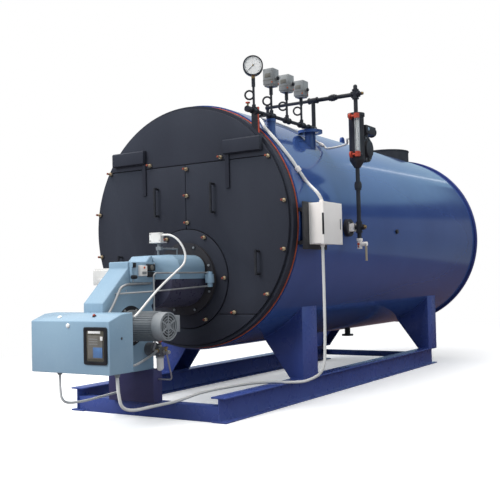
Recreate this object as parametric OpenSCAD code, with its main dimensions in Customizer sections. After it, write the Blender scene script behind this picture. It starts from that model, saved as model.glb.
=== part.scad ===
// Packaged fire-tube steam boiler with an oil burner, on a steel skid.
// Millimetres, +Z up. The origin is on the floor, under the middle of the front cross member.
// The front of the boiler faces -Y, and the water level column is on its +X side.

/* [Skid] */
// How much shorter a skid rail is than the shell
rail_short = 80; // [0:10:140]
// Height of a rail
rail_h = 178; // [160:1:200]
// Width of a rail's flanges
rail_w = 126; // [110:1:140]
// Thickness of a rail's flanges
rail_flange_t = 12; // [8:1:16]
// Thickness of a rail's web
rail_web_t = 8; // [6:1:14]
// Distance between the middles of the rails
rail_gauge = 1326; // [1260:2:1360]
// Length of rail in front of the front cross member's middle
rail_nose = 61; // [50:1:120]
// Height of the front cross member
cross_h = 113; // [100:1:130]
// Width of the front cross member
cross_w = 90; // [80:1:96]
// Side of the rear cross member
rear_cross_side = 60; // [50:1:80]
// Wall of the cross members
cross_t = 8; // [6:1:12]

/* [Legs] */
// Width of a leg along the boiler
leg_w = 250; // [200:5:300]
// Thickness of the leg plates
leg_t = 12; // [8:1:16]
// Reach of a leg inwards under the shell
leg_reach = 360; // [300:5:400]
// Distance of the front legs behind the front face
front_leg_set = 545; // [450:5:700]
// Distance of the rear legs' front side from the back end
rear_leg_inset = 990; // [980:5:1100]

/* [Shell] */
// Outside diameter of the clad shell
shell_d = 1956; // [1940:2:1970]
// Length of the clad shell
shell_len = 4290; // [4200:10:4500]
// Thickness of the shell wall with its insulation and cladding
shell_wall = 60; // [52:1:70]
// Height of the shell's underside above the floor
shell_lift = 432; // [412:2:480]
// Thickness of the tube plate and the rear cover
end_t = 25; // [16:1:36]
// Diameter of the rear access cover
access_d = 620; // [500:10:760]
// Outside diameter of the flue collar
flue_d = 560; // [480:5:570]
// Height of the flue collar above the top of the shell
flue_rise = 100; // [90:5:160]
// Distance from the rear end to the middle of the flue collar
flue_set = 320; // [316:2:360]
// Wall of the flue collar
flue_wall = 8; // [5:1:14]
// Width of a lifting lug
lug_w = 90; // [70:5:120]
// Distance of the front lifting lug behind the front face
front_lug_set = 1330; // [900:10:1500]
// Distance of the rear lifting lug behind the front face
rear_lug_set = 2880; // [2600:10:3300]
// Distance of the blow-down stub behind the front face
blowdown_set = 2880; // [2600:10:3300]
// Distance of the small side plug behind the front face
plug_set = 1946; // [1700:2:2200]
// Height of a lifting lug's eye above the shell
lug_eye_h = 85; // [60:5:120]
// Hole in a lifting lug
lug_hole_d = 36; // [26:1:42]

/* [Front] */
// Distance from the front cross member's middle back to the front face
front_setback = 500; // [470:5:560]
// Radial step from the shell in to the black front
front_step = 18; // [14:1:24]
// Depth of the black front
front_depth = 100; // [80:1:140]
// Radial width of the front ring that shows round the doors
ring_show = 25; // [15:1:35]
// Radial width of the front ring
ring_w = 80; // [60:1:100]
// Thickness of the doors and panels
plate_t = 25; // [16:1:36]
// Gap between the doors and panels
seam = 5; // [3:1:10]
// Height of the top panel over the doors
top_panel_h = 440; // [400:5:480]
// Height of the bottom panel under the doors
low_panel_h = 245; // [210:5:280]
// Radius of the burner throat plate
throat_r = 390; // [360:5:410]
// Height of the burner's axis above the bottom of the black front
burner_rise = 548; // [540:2:560]
// Length of a hanger arm
hanger_len = 332; // [280:2:360]
// Distance of a hanger arm's outer end in from the edge of the black front
hanger_inset = 236; // [210:2:280]
// Distance of the upper handles from the middle seam
upper_handle_x = 275; // [200:5:320]
// Length of the upper handles
upper_handle_len = 240; // [200:5:280]
// Distance of the lower handles in from the edge of the black front
lower_handle_inset = 288; // [260:2:330]
// Length of the lower handles
lower_handle_len = 190; // [160:5:240]
// Width of the red gasket that shows outside the front ring
gasket_lip = 6; // [3:1:12]
// Thickness of the gasket
gasket_t = 10; // [6:1:16]

/* [Header] */
// Distance of the header pipe in from the shell's side
header_inset = 278; // [258:2:318]
// Height of the header's axis above the shell below it
header_rise = 142; // [130:1:160]
// Outside diameter of the header and the column pipes
pipe_d = 34; // [28:1:42]
// Height of the balance pipe above the header
balance_rise = 240; // [220:5:280]
// Distance between the pressure switches
switch_pitch = 240; // [200:5:260]
// Diameter of the pressure gauge
gauge_d = 150; // [120:2:180]
// Height of the gauge's middle above the header
gauge_rise = 335; // [300:5:380]

/* [Level column] */
// Distance of the column outside the shell's side
column_out = 112; // [105:1:140]
// Distance of the column behind the front face
column_set = 885; // [860:5:930]
// Diameter of the level chamber
chamber_d = 124; // [110:2:136]
// Length of the level chamber's barrel
chamber_len = 385; // [360:5:440]
// Height of the lower tee below the shell's axis
low_tee_drop = 25; // [10:1:60]
// Diameter of the level switch's flange
switch_flange_d = 220; // [190:2:240]

/* [Junction box] */
// Width of the junction box along the boiler
box_w = 310; // [280:5:340]
// Height of the junction box
box_h = 315; // [280:5:360]
// Depth of the junction box
box_t = 122; // [100:2:140]
// Thickness of its back plate
back_plate_t = 12; // [8:1:20]
// Stand-off of the back plate from the shell's side
box_stand = 30; // [20:1:50]

/* [Burner] */
// Height of the burner head's hood above its seam
head_r = 183; // [170:1:195]
// Length of the burner head
head_len = 493; // [470:1:510]
// Half the width of the hood over the flange
hood_half = 222; // [205:1:228]
// Radius of the hood's rounded top corners
hood_round = 105; // [80:1:120]
// Length over which the hood widens from the fan casing
hood_taper = 145; // [120:1:180]
// Radius of the drum under the hood
drum_r = 215; // [200:1:225]
// Radius of the burner tube
tube_r = 150; // [130:1:158]
// Radius of the burner flange
burner_flange_r = 285; // [270:1:310]
// Thickness of the burner flange
burner_flange_t = 30; // [20:1:40]
// Width of the fan casing
casing_w = 180; // [160:2:210]
// Radius of the fan scroll
scroll_r = 270; // [250:2:270]
// Radius of the fan motor
motor_r = 98; // [85:1:110]
// Length of the fan motor
motor_len = 340; // [320:5:360]
// Width of the control panel
panel_w = 704; // [660:4:760]
// Height of the control panel
panel_h = 390; // [370:2:420]
// Depth of the control panel
panel_depth = 230; // [200:2:260]
// Length of the control panel's sloped front top edge, along the boiler
panel_slope = 120; // [90:2:150]
// Drop of that sloped edge
panel_slope_drop = 42; // [30:1:60]
// Width of the panel window's frame
window_w = 196; // [160:2:220]
// Height of the panel window's frame
window_h = 240; // [200:2:260]
// Width of the frame round the window's glass
window_rim = 22; // [14:1:30]
// Height of the burner stand above the front cross member
stand_h = 237; // [220:1:260]
// Width of the burner stand
stand_w = 430; // [400:5:460]
// Depth of the burner stand
stand_depth = 100; // [80:2:120]
// Height of the fan scroll above the burner stand
scroll_lift = 56; // [40:2:80]

/* [Hidden] */
$fn = 64;
little = 0.01;
shell_r = shell_d / 2;
axis_h = shell_lift + shell_r;
front_r = shell_r - front_step;
door_r = front_r - ring_show;
shell_y = front_setback + front_depth;
rear_y = shell_y + shell_len;
rear_leg_set = rear_y - front_setback - rear_leg_inset;
rail_len = shell_len - rail_short;
ring_y = front_setback + plate_t;
ring_len = front_depth - plate_t - gasket_t;
burner_h = axis_h - front_r + burner_rise;
burner_drop = axis_h - burner_h;
top_seam = door_r - top_panel_h;
low_seam = door_r - low_panel_h;
rail_x = rail_gauge / 2;
leg_outer_x = rail_x + rail_w / 2;
flue_y = rear_y - flue_set;
column_x = shell_r + column_out;
column_y = front_setback + column_set;
header_x = shell_r - header_inset;
header_z = shell_top(header_x) + header_rise;
balance_z = header_z + balance_rise;
head_gap = 10 + burner_flange_t;
casing_back = front_setback - head_gap - head_len;
fan_y = casing_back - 257;
rear_rim_r = shell_r + 22;
rear_rim_w = 34;
stand_top = cross_h + stand_h;
fan_h = stand_top + scroll_lift + scroll_r;
panel_back = fan_y - scroll_r - 10;
panel_low = stand_top + 45;
stand_y = cross_w / 2 - 45 - stand_depth;
box_x = shell_r + box_stand + back_plate_t;
box_low = axis_h - 180;
box_y = front_setback + 155;

// Colours
paint = "#2f4a8c";
dark_paint = "#2d2d55";
burner_paint = "#6f9cc4";
black = "#26262b";
iron = "#33333a";
steel = "#9a9a98";
cream = "#dcd8d0";
brass = "#b08d4a";
red = "#b5402c";
glass = "#b9c4c2";

// Height of the shell's surface at a sideways distance x, over and under the axis
function shell_top(x) = axis_h + sqrt(shell_r * shell_r - x * x);
function shell_low(x) = axis_h - sqrt(shell_r * shell_r - x * x);
// Sideways distance of the shell's surface at a height z
function shell_side(z) = sqrt(shell_r * shell_r - (z - axis_h) * (z - axis_h));
// A point off the shell, at an angle above +X, a distance behind the front face and a height off it
function off_shell(a, d, off) = [
    (shell_r + off) * cos(a),
    front_setback + d,
    axis_h + (shell_r + off) * sin(a)
];

function unit(v) = v / norm(v);
function carried(n, t) = unit(n - (n * t) * t);
// A smooth curve through the points of a route, with steps pieces between each pair
function curve_point(a, b, c, d, u) =
    b + 0.5 * u * (c - a)
    + 0.5 * u * u * (2 * a - 5 * b + 4 * c - d)
    + 0.5 * u * u * u * (3 * b - a - 3 * c + d);
function curve(p, steps) = [
    for (i = [0 : len(p) - 2], s = [0 : steps - 1])
        curve_point(p[max(i - 1, 0)], p[i], p[i + 1], p[min(i + 2, len(p) - 1)], s / steps),
    p[len(p) - 1]
];
function headings(p) = [
    for (i = [0 : len(p) - 1]) unit(p[min(i + 1, len(p) - 1)] - p[max(i - 1, 0)])
];
function sideways(t) = [
    for (i = 0, n = carried([0.31, 0.87, 0.38], t[0]); i < len(t); i = i + 1,
        n = carried(n, t[min(i, len(t) - 1)])) n
];

// A round tube swept along a smooth curve through the route's points
module swept(route, r, steps = 4, sides = 10) {
    p = curve(route, steps);
    t = headings(p);
    n = sideways(t);
    last = len(p) - 1;
    polyhedron(
        points = [for (i = [0 : last], k = [0 : sides - 1])
            p[i] + r * (cos(360 * k / sides) * n[i] + sin(360 * k / sides) * cross(t[i], n[i]))],
        faces = concat(
            [[for (k = [0 : sides - 1]) sides - 1 - k]],
            [for (i = [0 : last - 1], k = [0 : sides - 1]) [
                i * sides + k,
                i * sides + (k + 1) % sides,
                (i + 1) * sides + (k + 1) % sides,
                (i + 1) * sides + k
            ]],
            [[for (k = [0 : sides - 1]) last * sides + k]]
        )
    );
}

// Straight tubes through the points of a route, with a round elbow at each turn
module pipe_run(route, r) {
    for (i = [0 : len(route) - 2]) {
        v = route[i + 1] - route[i];
        translate(route[i])
            rotate([0, acos(v[2] / norm(v)), atan2(v[1], v[0])])
                cylinder(r = r, h = norm(v));
    }
    for (i = [1 : len(route) - 2]) translate(route[i]) sphere(r = r + 2);
}

// A cylinder along Y from y0 for a length
module along_y(x, y0, z, r, length) {
    translate([x, y0, z]) rotate([-90, 0, 0]) cylinder(r = r, h = length, $fn = r > 200 ? 480 : $fn);
}

// A cylinder along X from x0 for a length
module along_x(x0, y, z, r, length) {
    translate([x0, y, z]) rotate([0, 90, 0]) cylinder(r = r, h = length);
}

// An upright cylinder from z0 for a length
module upright(x, y, z0, r, length) {
    translate([x, y, z0]) cylinder(r = r, h = length);
}

// A box between two corners
module block(low, high) {
    translate(low) cube(high - low);
}

// A flat outline drawn as seen from the front, with the shell's axis at 0,0, from depth d back for t
module front_slab(d, t) {
    translate([0, front_setback + d + t, axis_h]) rotate([90, 0, 0]) linear_extrude(t) children();
}

// An outline in Y and Z, as thick as w, centred on x
module side_slab(x, w) {
    translate([x - w / 2, 0, 0]) rotate([90, 0, 90]) linear_extrude(w) children();
}

// A pipe fitting: a thicker collar with beads at its ends, about the origin along Z
module collar(r, length) {
    cylinder(r = r, h = length, center = true);
    for (s = [-1, 1]) translate([0, 0, s * (length / 2 - 5)]) cylinder(r = r + 4, h = 10, center = true);
}

// A hexagon union nut about the origin along Z
module union_nut(r) {
    cylinder(r = r, h = 34, center = true, $fn = 6);
    cylinder(r = r * 0.8, h = 66, center = true);
}

// Skid

module rail() {
    rotate([90, 0, 0]) translate([0, 0, -rail_len + rail_nose]) linear_extrude(rail_len) {
        translate([-rail_web_t / 2, 0]) square([rail_web_t, rail_h]);
        for (z = [0, rail_h - rail_flange_t])
            translate([-rail_w / 2, z]) square([rail_w, rail_flange_t]);
    }
}

module skid_rails() {
    color(paint) for (s = [-1, 1]) translate([s * rail_x, 0, 0]) rail();
}

// In front a channel between the rails' flanges, open to the back; behind a square tube between the webs
module cross_members() {
    span = rail_gauge - rail_w;
    half = rail_x - rail_web_t / 2;
    y0 = rail_len - rail_nose - 110;
    z0 = 62;
    color(paint) {
        difference() {
            union() {
                block([-span / 2, -cross_w / 2, 0], [span / 2, cross_w / 2, cross_h]);
                block([-half, -cross_w / 2, rail_flange_t], [half, cross_w / 2, cross_h]);
            }
            block([-span, -cross_w / 2 + cross_t, cross_t], [span, cross_w, cross_h - cross_t]);
        }
        difference() {
            block([-half, y0, z0], [half, y0 + rear_cross_side, z0 + rear_cross_side]);
            block(
                [-rail_gauge, y0 + cross_t, z0 + cross_t],
                [rail_gauge, y0 + rear_cross_side - cross_t, z0 + rear_cross_side - cross_t]
            );
        }
    }
}

// The stand under the burner: a folded box on the front cross member
module burner_stand() {
    left = -stand_w * 0.7;
    right = stand_w * 0.3;
    y0 = stand_y;
    y1 = stand_y + stand_depth;
    color(dark_paint) difference() {
        block([left, y0, cross_h], [right, y1, stand_top]);
        block(
            [left + leg_t, y0 + leg_t, cross_h - little],
            [right - leg_t, y1 + little, stand_top - leg_t]
        );
    }
}

// Legs

// One box leg on the +X side: a foot plate, two webs with sloped inner edges and an outer plate
module leg(d) {
    y0 = front_setback + d;
    foot_x = rail_x - rail_w / 2;
    difference() {
        union() {
            block([foot_x, y0, rail_h], [leg_outer_x, y0 + leg_w, rail_h + leg_t]);
            block([leg_outer_x - leg_t, y0, rail_h], [leg_outer_x, y0 + leg_w, axis_h]);
            for (y = [y0 + leg_t, y0 + leg_w]) translate([0, y, 0]) rotate([90, 0, 0])
                linear_extrude(leg_t) polygon([
                    [foot_x, rail_h],
                    [leg_outer_x, rail_h],
                    [leg_outer_x, axis_h],
                    [leg_reach, axis_h],
                    [leg_reach, shell_low(leg_reach)]
                ]);
        }
        along_y(0, y0 - 1, axis_h, shell_r, leg_w + 2);
    }
}

module leg_pair(d) {
    leg(d);
    mirror([1, 0, 0]) leg(d);
}

module front_legs() {
    color(paint) leg_pair(front_leg_set);
}

module rear_legs() {
    color(paint) leg_pair(rear_leg_set);
}

// Shell

// The clad shell, open at its ends, with the flue opening through its top
module shell_cladding() {
    color(paint) difference() {
        along_y(0, shell_y, axis_h, shell_r, shell_len);
        along_y(0, shell_y - 1, axis_h, shell_r - shell_wall, shell_len + 2);
        upright(0, flue_y, axis_h, flue_d / 2, shell_d);
    }
}

module front_tube_plate() {
    color(iron) difference() {
        along_y(0, shell_y, axis_h, shell_r - shell_wall, end_t);
        along_y(0, shell_y - 1, burner_h, throat_r - 60, end_t + 2);
    }
}

// The back end: a plate in the shell, with a cover plate and a rim that stands out round the shell
module rear_cover() {
    color(paint) difference() {
        union() {
            along_y(0, rear_y - end_t, axis_h, shell_r - shell_wall, end_t);
            along_y(0, rear_y, axis_h, rear_rim_r, 14);
            difference() {
                along_y(0, rear_y - rear_rim_w, axis_h, rear_rim_r, rear_rim_w + 5);
                along_y(0, rear_y - rear_rim_w - 1, axis_h, shell_r, rear_rim_w + 1);
            }
        }
        along_y(0, rear_y - end_t - 1, axis_h, access_d / 2 - 50, end_t + 20);
    }
}

// The bolted cover over the opening in the back end
module rear_access_cover() {
    y0 = rear_y + 14;
    color(paint) {
        along_y(0, y0, axis_h, access_d / 2, 18);
        along_y(0, y0 + 18, axis_h, access_d / 2 - 70, 10);
    }
}

module flue_collar() {
    top = axis_h + shell_r + flue_rise;
    color(black) difference() {
        union() {
            upright(0, flue_y, axis_h + shell_r - shell_wall, flue_d / 2, flue_rise + shell_wall);
            upright(0, flue_y, top - 14, flue_d / 2 + 6, 14);
        }
        upright(0, flue_y, axis_h, flue_d / 2 - flue_wall, shell_d);
    }
}

// Two plates with a round eye on top of the shell
module lifting_lugs() {
    color(paint) for (d = [front_lug_set, rear_lug_set]) difference() {
        side_slab(0, 20) translate([front_setback + d, axis_h + shell_r]) difference() {
            union() {
                translate([-lug_w / 2, -30]) square([lug_w, lug_eye_h + 30]);
                translate([0, lug_eye_h]) circle(r = lug_w / 2);
            }
            translate([0, lug_eye_h]) circle(r = lug_hole_d / 2);
        }
        along_y(0, front_setback + d - lug_w, axis_h, shell_r, 2 * lug_w);
    }
}

// The flanged blow-down stub under the shell and a small plug on its right side
module shell_stubs() {
    y = front_setback + blowdown_set;
    low = axis_h - shell_r;
    plug_z = axis_h - 16;
    color(black) difference() {
        union() {
            upright(0, y, low - 70, 30, 90);
            upright(0, y, low - 88, 62, 18);
            along_x(shell_side(plug_z) - 10, front_setback + plug_set, plug_z, 20, 26);
        }
        along_y(0, shell_y, axis_h, shell_r, shell_len);
    }
}

// Front

module front_ring() {
    color(black) difference() {
        along_y(0, ring_y, axis_h, front_r, ring_len);
        along_y(0, ring_y - 1, axis_h, front_r - ring_w, ring_len + 2);
    }
}

module front_gasket() {
    color(red) difference() {
        along_y(0, shell_y - gasket_t, axis_h, front_r + gasket_lip, gasket_t);
        along_y(0, shell_y - gasket_t - 1, axis_h, front_r - ring_w, gasket_t + 2);
    }
}

// Round cut for the burner throat in the front plates
module throat_cut(extra) {
    translate([0, -burner_drop]) circle(r = throat_r + extra, $fn = 480);
}

// Half of the area between the seams, on the +X side, drawn in from its edges by an inset
module door_outline(inset) {
    difference() {
        intersection() {
            circle(r = door_r - inset, $fn = 480);
            translate([seam / 2 + inset, -low_seam + seam / 2 + inset])
                square([door_r, low_seam + top_seam - seam - 2 * inset]);
        }
        throat_cut(seam + inset);
    }
}

module right_door() {
    color(black) front_slab(0, plate_t) door_outline(0);
}

module left_door() {
    color(black) mirror([1, 0, 0]) front_slab(0, plate_t) door_outline(0);
}

// The fixed panels over and under the doors
module front_panels() {
    color(black) front_slab(0, plate_t) {
        intersection() {
            circle(r = door_r, $fn = 480);
            translate([-door_r, top_seam + seam / 2]) square([2 * door_r, door_r]);
        }
        difference() {
            intersection() {
                circle(r = door_r, $fn = 480);
                translate([-door_r, -door_r]) square([2 * door_r, door_r - low_seam - seam / 2]);
            }
            throat_cut(seam);
        }
    }
}

// The fixed frame that the doors close on
module door_frame() {
    color(iron) front_slab(plate_t, 20) difference() {
        circle(r = front_r - ring_w, $fn = 480);
        door_outline(45);
        mirror([1, 0, 0]) door_outline(45);
        throat_cut(-60);
    }
}

module throat_plate() {
    color(black) difference() {
        along_y(0, front_setback - 10, burner_h, throat_r, plate_t + 10);
        along_y(0, front_setback - 11, burner_h, tube_r, plate_t + 12);
    }
}

// The hanger of a door: a box arm on the top panel and a strap on the door
module hanger_arm() {
    arm_z = axis_h + top_seam + 37;
    y1 = front_setback;
    out = front_r - hanger_inset;
    strap = out - hanger_len + 2;
    side_slab(out - hanger_len / 2, hanger_len) polygon([
        [y1, arm_z], [y1 - 46, arm_z + 8], [y1 - 46, arm_z + 104],
        [y1 - 34, arm_z + 114], [y1, arm_z + 114]
    ]);
    block([strap, y1 - 14, arm_z - 255], [strap + 34, y1, arm_z + 20]);
}

module hanger_arms() {
    color(black) {
        hanger_arm();
        mirror([1, 0, 0]) hanger_arm();
    }
}

// An upright bar handle on two feet, standing off the front
module bar_handle(length, off, r) {
    translate([0, -off, -length / 2]) cylinder(r = r, h = length);
    for (z = [-length / 2 + r, length / 2 - r])
        translate([0, 0, z]) rotate([90, 0, 0]) cylinder(r = r * 0.9, h = off);
}

module door_handles() {
    color(black) for (s = [-1, 1]) {
        translate([s * upper_handle_x, front_setback, axis_h + top_seam - 285])
            bar_handle(upper_handle_len, 50, 10);
        translate([s * (front_r - lower_handle_inset), front_setback, burner_h + 109])
            bar_handle(lower_handle_len, 50, 10);
    }
}

// The upright plate on the front ring that holds the header's front end
module header_bracket() {
    y0 = ring_y + 6;
    top = header_z - header_r;
    color(black) difference() {
        union() {
            block([header_x - 84, y0, axis_h], [header_x - 20, y0 + 12, header_z + 50]);
            block([header_x - 84, y0, top - 12], [header_x + 22, y0 + 50, top]);
        }
        along_y(0, y0 - 1, axis_h, front_r, 60);
    }
}

// Header and balance pipe

header_back = front_setback + column_set;
header_r = pipe_d * 0.4;
gauge_y = front_setback - 65;
switch_y0 = front_setback + 190;

// Two stubs on the shell's shoulder, the back one with a flange
module header_nozzles() {
    under = header_z - pipe_d / 2 - 8;
    low = under;
    color(paint) difference() {
        union() {
            upright(header_x, front_setback + 180, axis_h, 32, under - axis_h);
            upright(header_x, front_setback + 180, under - 22, 38, 22);
            upright(header_x, header_back - 70, axis_h, 45, low - axis_h);
            upright(header_x, header_back - 70, low - 24, 102, 24);
        }
        along_y(0, front_setback, axis_h, shell_r, column_set + 200);
    }
}

module steam_header() {
    r = pipe_d / 2;
    y0 = gauge_y - 85;
    steam_x = 250;
    color(iron) {
        along_y(header_x, y0, header_z, header_r, header_back - y0);
        along_y(header_x, y0 - 14, header_z, r + 6, 30);
        for (y = concat(gauge_y, [for (i = [0 : 2]) switch_y0 + i * switch_pitch], header_back - 70))
            translate([header_x, y, header_z]) rotate([90, 0, 0]) collar(r + 4, 66);
        translate([header_x, header_back, header_z]) sphere(r = r + 10);
        upright(header_x, header_back, header_z, r, balance_rise);
        translate([header_x, header_back, balance_z]) rotate([0, 90, 0]) collar(r + 6, 84);
        along_x(steam_x, header_back, balance_z, r * 0.8, header_x - steam_x);
        translate([steam_x, header_back, balance_z]) sphere(r = r + 5);
        upright(steam_x, header_back, shell_top(steam_x), r * 0.8, balance_z - shell_top(steam_x));
        along_x(header_x, header_back, balance_z, r, column_x - 35 - header_x);
        translate([(header_x + column_x) / 2 - 10, header_back, balance_z])
            rotate([0, 90, 0]) union_nut(r + 12);
    }
}

// Pigtail siphons and stems from the header up to the gauge and the switches
module siphon_stems() {
    loop_r = 32;
    color(iron) for (i = [0 : 3]) {
        y = i == 0 ? gauge_y : switch_y0 + (i - 1) * switch_pitch;
        top = i == 0 ? gauge_rise - gauge_d / 2 - 20 : 226;
        z0 = header_z + pipe_d / 2 + 4;
        upright(header_x, y, z0, 9, header_z + top - z0);
        upright(header_x, y, z0, 15, 24);
        upright(header_x, y, header_z + top - 60, 14, 60);
        translate([header_x - loop_r * 0.85, y - loop_r * 0.5, header_z + 118]) rotate([90, 0, 32])
            rotate_extrude() translate([loop_r, 0]) circle(r = 7, $fn = 24);
    }
}

// The gauge, turned towards the right front
module pressure_gauge() {
    color(black) translate([header_x, gauge_y, header_z + gauge_rise]) rotate([90, 0, 32]) {
        difference() {
            translate([0, 0, -24]) cylinder(r = gauge_d / 2, h = 52);
            translate([0, 0, 20]) cylinder(r = gauge_d / 2 - 8, h = 20);
        }
        translate([0, -gauge_d / 2 - 20, -4]) rotate([-90, 0, 0]) cylinder(r = 14, h = 30);
    }
}

module pressure_switches() {
    color(steel) for (i = [0 : 2]) {
        y = switch_y0 + i * switch_pitch;
        z = header_z + 226;
        block([header_x - 45, y - 42, z + 12], [header_x + 45, y + 48, z + 137]);
        block([header_x - 38, y - 36, z], [header_x + 38, y + 42, z + 12]);
        along_x(header_x + 45, y + 3, z + 60, 12, 14);
    }
}

// Level column

chamber_top = balance_z - 160;
chamber_low = chamber_top - chamber_len;
low_tee_z = axis_h - low_tee_drop;
cock_z = low_tee_z - 92;
glass_x = column_x + 46;
glass_y = column_y - chamber_d / 2 - 26;

module column_pipes() {
    r = pipe_d / 2;
    z1 = chamber_low - 60;
    side = shell_side(low_tee_z);
    color(iron) {
        translate([column_x, column_y, balance_z]) collar(r + 7, 80);
        translate([column_x, column_y, balance_z]) rotate([90, 0, 90]) collar(r + 6, 70);
        upright(column_x, column_y, balance_z + 30, r, 34);
        translate([column_x, column_y, balance_z + 64]) sphere(r = r);
        along_x(column_x + 30, column_y, balance_z, r * 0.8, 30);
        upright(column_x, column_y, chamber_top, r, balance_z - chamber_top);
        upright(column_x, column_y, cock_z, r, z1 - cock_z);
        translate([column_x, column_y, low_tee_z + (z1 - low_tee_z) * 0.695]) union_nut(r + 16);
        translate([column_x, column_y, low_tee_z]) collar(r + 7, 90);
        difference() {
            along_x(side - 20, column_y, low_tee_z, r, column_x - side + 60);
            along_y(0, column_y - 100, axis_h, shell_r, 200);
        }
        along_x(column_x + 26, column_y, low_tee_z, r + 5, 22);
    }
}

// The chamber that carries the glass and the level switch
module level_chamber() {
    r = chamber_d / 2;
    color(black) {
        upright(column_x, column_y, chamber_low, r, chamber_len);
        upright(column_x, column_y, chamber_top - 26, r + 8, 26);
        translate([column_x, column_y, chamber_low - 60]) cylinder(r1 = pipe_d / 2 + 9, r2 = r, h = 60);
        for (z = [chamber_low + 40, chamber_top - 35])
            along_y(glass_x, glass_y + 22, z, 13, chamber_d / 2);
    }
}

// The upright glass in front of the chamber
module gauge_glass() {
    color(glass) upright(glass_x, glass_y, chamber_low + 60, 11, chamber_len - 115);
}

module glass_valves() {
    color(red) for (z = [chamber_low + 40, chamber_top - 35]) {
        translate([glass_x, glass_y, z]) cylinder(r = 22, h = 40, center = true);
        along_x(glass_x - 52, glass_y, z, 10, 34);
        along_x(glass_x - 66, glass_y, z, 25, 16);
    }
}

// The level switch behind the chamber: a bolted flange pair, a neck and a domed head
module level_switch() {
    y = column_y + chamber_d / 2 + switch_flange_d / 2 - 22;
    z = chamber_low + 110;
    head = z + switch_flange_d / 2 + 15;
    color(black) difference() {
        union() {
            along_x(column_x - 42, y, z, switch_flange_d / 2, 30);
            along_x(column_x - 6, y, z, switch_flange_d / 2, 30);
            along_x(column_x - 60, y, z, switch_flange_d / 2 - 40, 110);
            block([column_x - 28, column_y, z - 40], [column_x + 12, y, z + 40]);
            upright(column_x, y, z, 32, head - z);
            block([column_x - 48, y - 60, head], [column_x + 48, y + 130, head + 68]);
            translate([column_x, y + 150, head + 36]) sphere(r = 44);
        }
        upright(column_x, column_y, chamber_low - 1, chamber_d / 2, chamber_len + 2);
    }
}

module drain_cock() {
    z = cock_z;
    color(brass) {
        upright(column_x, column_y, z - 84, 20, 84);
        upright(column_x, column_y, z - 20, 25, 20);
        along_x(column_x, column_y, z - 46, 17, 66);
        upright(column_x + 56, column_y, z - 182, 9, 140);
    }
}

// Electrical boxes

// The junction box with its lid, on a back plate on the shell's right side
module junction_box() {
    lid_t = 26;
    lid_x = box_x + box_t - lid_t;
    color(black) {
        block(
            [box_x - back_plate_t, box_y - 85, box_low - 35],
            [box_x, box_y + box_w - 25, box_low + box_h + 3]
        );
        difference() {
            for (z = [box_low, box_low + box_h - 70])
                block([shell_r - 40, box_y - 60, z], [box_x - back_plate_t, box_y + box_w - 60, z + 30]);
            along_y(0, shell_y, axis_h, shell_r, shell_len);
        }
    }
    color(cream) {
        block([box_x, box_y + 5, box_low + 5], [lid_x, box_y + box_w - 5, box_low + box_h - 5]);
        block([lid_x, box_y, box_low], [box_x + box_t, box_y + box_w, box_low + box_h]);
    }
}

// The flanged valve on the level column's lower leg
module column_valve() {
    side = shell_side(low_tee_z);
    difference() {
        union() {
            color(black) for (x = [side + 2, side + 20]) along_x(x, column_y, low_tee_z, 72, 15);
            color(cream) translate([side + 56, column_y, low_tee_z]) cube([43, 62, 62], center = true);
        }
        along_x(side - 50, column_y, low_tee_z, pipe_d / 2, 200);
        along_y(0, column_y - 100, axis_h, shell_r, 200);
    }
}

// Conduits

// From the header down the shell's shoulder to the junction box, and along it to the level switch
module shoulder_conduits() {
    nozzle_a = acos(header_x / shell_r);
    to_box = concat(
        [for (p = [
            [14.4, 300], [8.4, 215], [3.4, 138], [-1.6, 117], [-7.6, 128],
            [-15.6, 172], [-21.6, 215]
        ]) off_shell(nozzle_a + p[0], p[1], 15)],
        [
            off_shell(nozzle_a - 27, 262, 24),
            [box_x + 38, box_y + 70, box_low + box_h + 75],
            [box_x + 60, box_y + 92, box_low + box_h + 24],
            [box_x + 60, box_y + 92, box_low + box_h - 4.7]
        ]
    );
    to_column = concat(
        [for (p = [
            [16.4, 350, 11], [18.4, 480, 11], [17.4, 700, 11], [11.4, 880, 11],
            [4.4, 985, 14], [-0.6, 1012, 24], [-3.6, 995, 44]
        ]) off_shell(nozzle_a + p[0], p[1], p[2])],
        [
            [column_x - 120, column_y + 40, chamber_low + 150],
            [column_x - chamber_d / 2 - 24, column_y, chamber_low + 185],
            [column_x - chamber_d / 2 - 0.4, column_y, chamber_low + 188]
        ]
    );
    color(cream) {
        swept(to_box, 10);
        swept(to_column, 6);
    }
}

// From the junction box over the right rail to the control panel, and from the panel to the stand
module panel_conduits() {
    box_side = [
        [box_x + 60, box_y + 94, box_low + 4.7],
        [box_x + 60, box_y + 94, box_low - 60],
        [box_x + 60, box_y + 96, 900],
        [box_x + 55, box_y + 98, 500],
        [box_x + 30, box_y + 98, 300],
        [920, front_setback + 262, rail_h + 34],
        [760, front_setback + 250, rail_h + 12.5],
        [640, front_setback + 225, rail_h + 12.5],
        [480, front_setback + 100, rail_h + 4],
        [330, front_setback - 250, 160],
        [280, -10, cross_h + 14],
        [290, -300, 130],
        [300, -520, 136],
        [310, -640, 175],
        [315, -680, 260],
        [315, -690, panel_low - 40],
        [315, -690, panel_low - 0.3]
    ];
    stand_side = [
        [-190, -700, panel_low - 0.3],
        [-190, -700, panel_low - 40],
        [-190, -698, 270],
        [-192, -680, 205],
        [-196, -620, 170],
        [-200, -480, 160],
        [-205, -300, 165],
        [-210, stand_y - 40, 172],
        [-210, stand_y - 0.3, 172]
    ];
    color(cream) swept(box_side, 11);
    color(steel) swept(stand_side, 9);
}

// Burner

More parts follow.
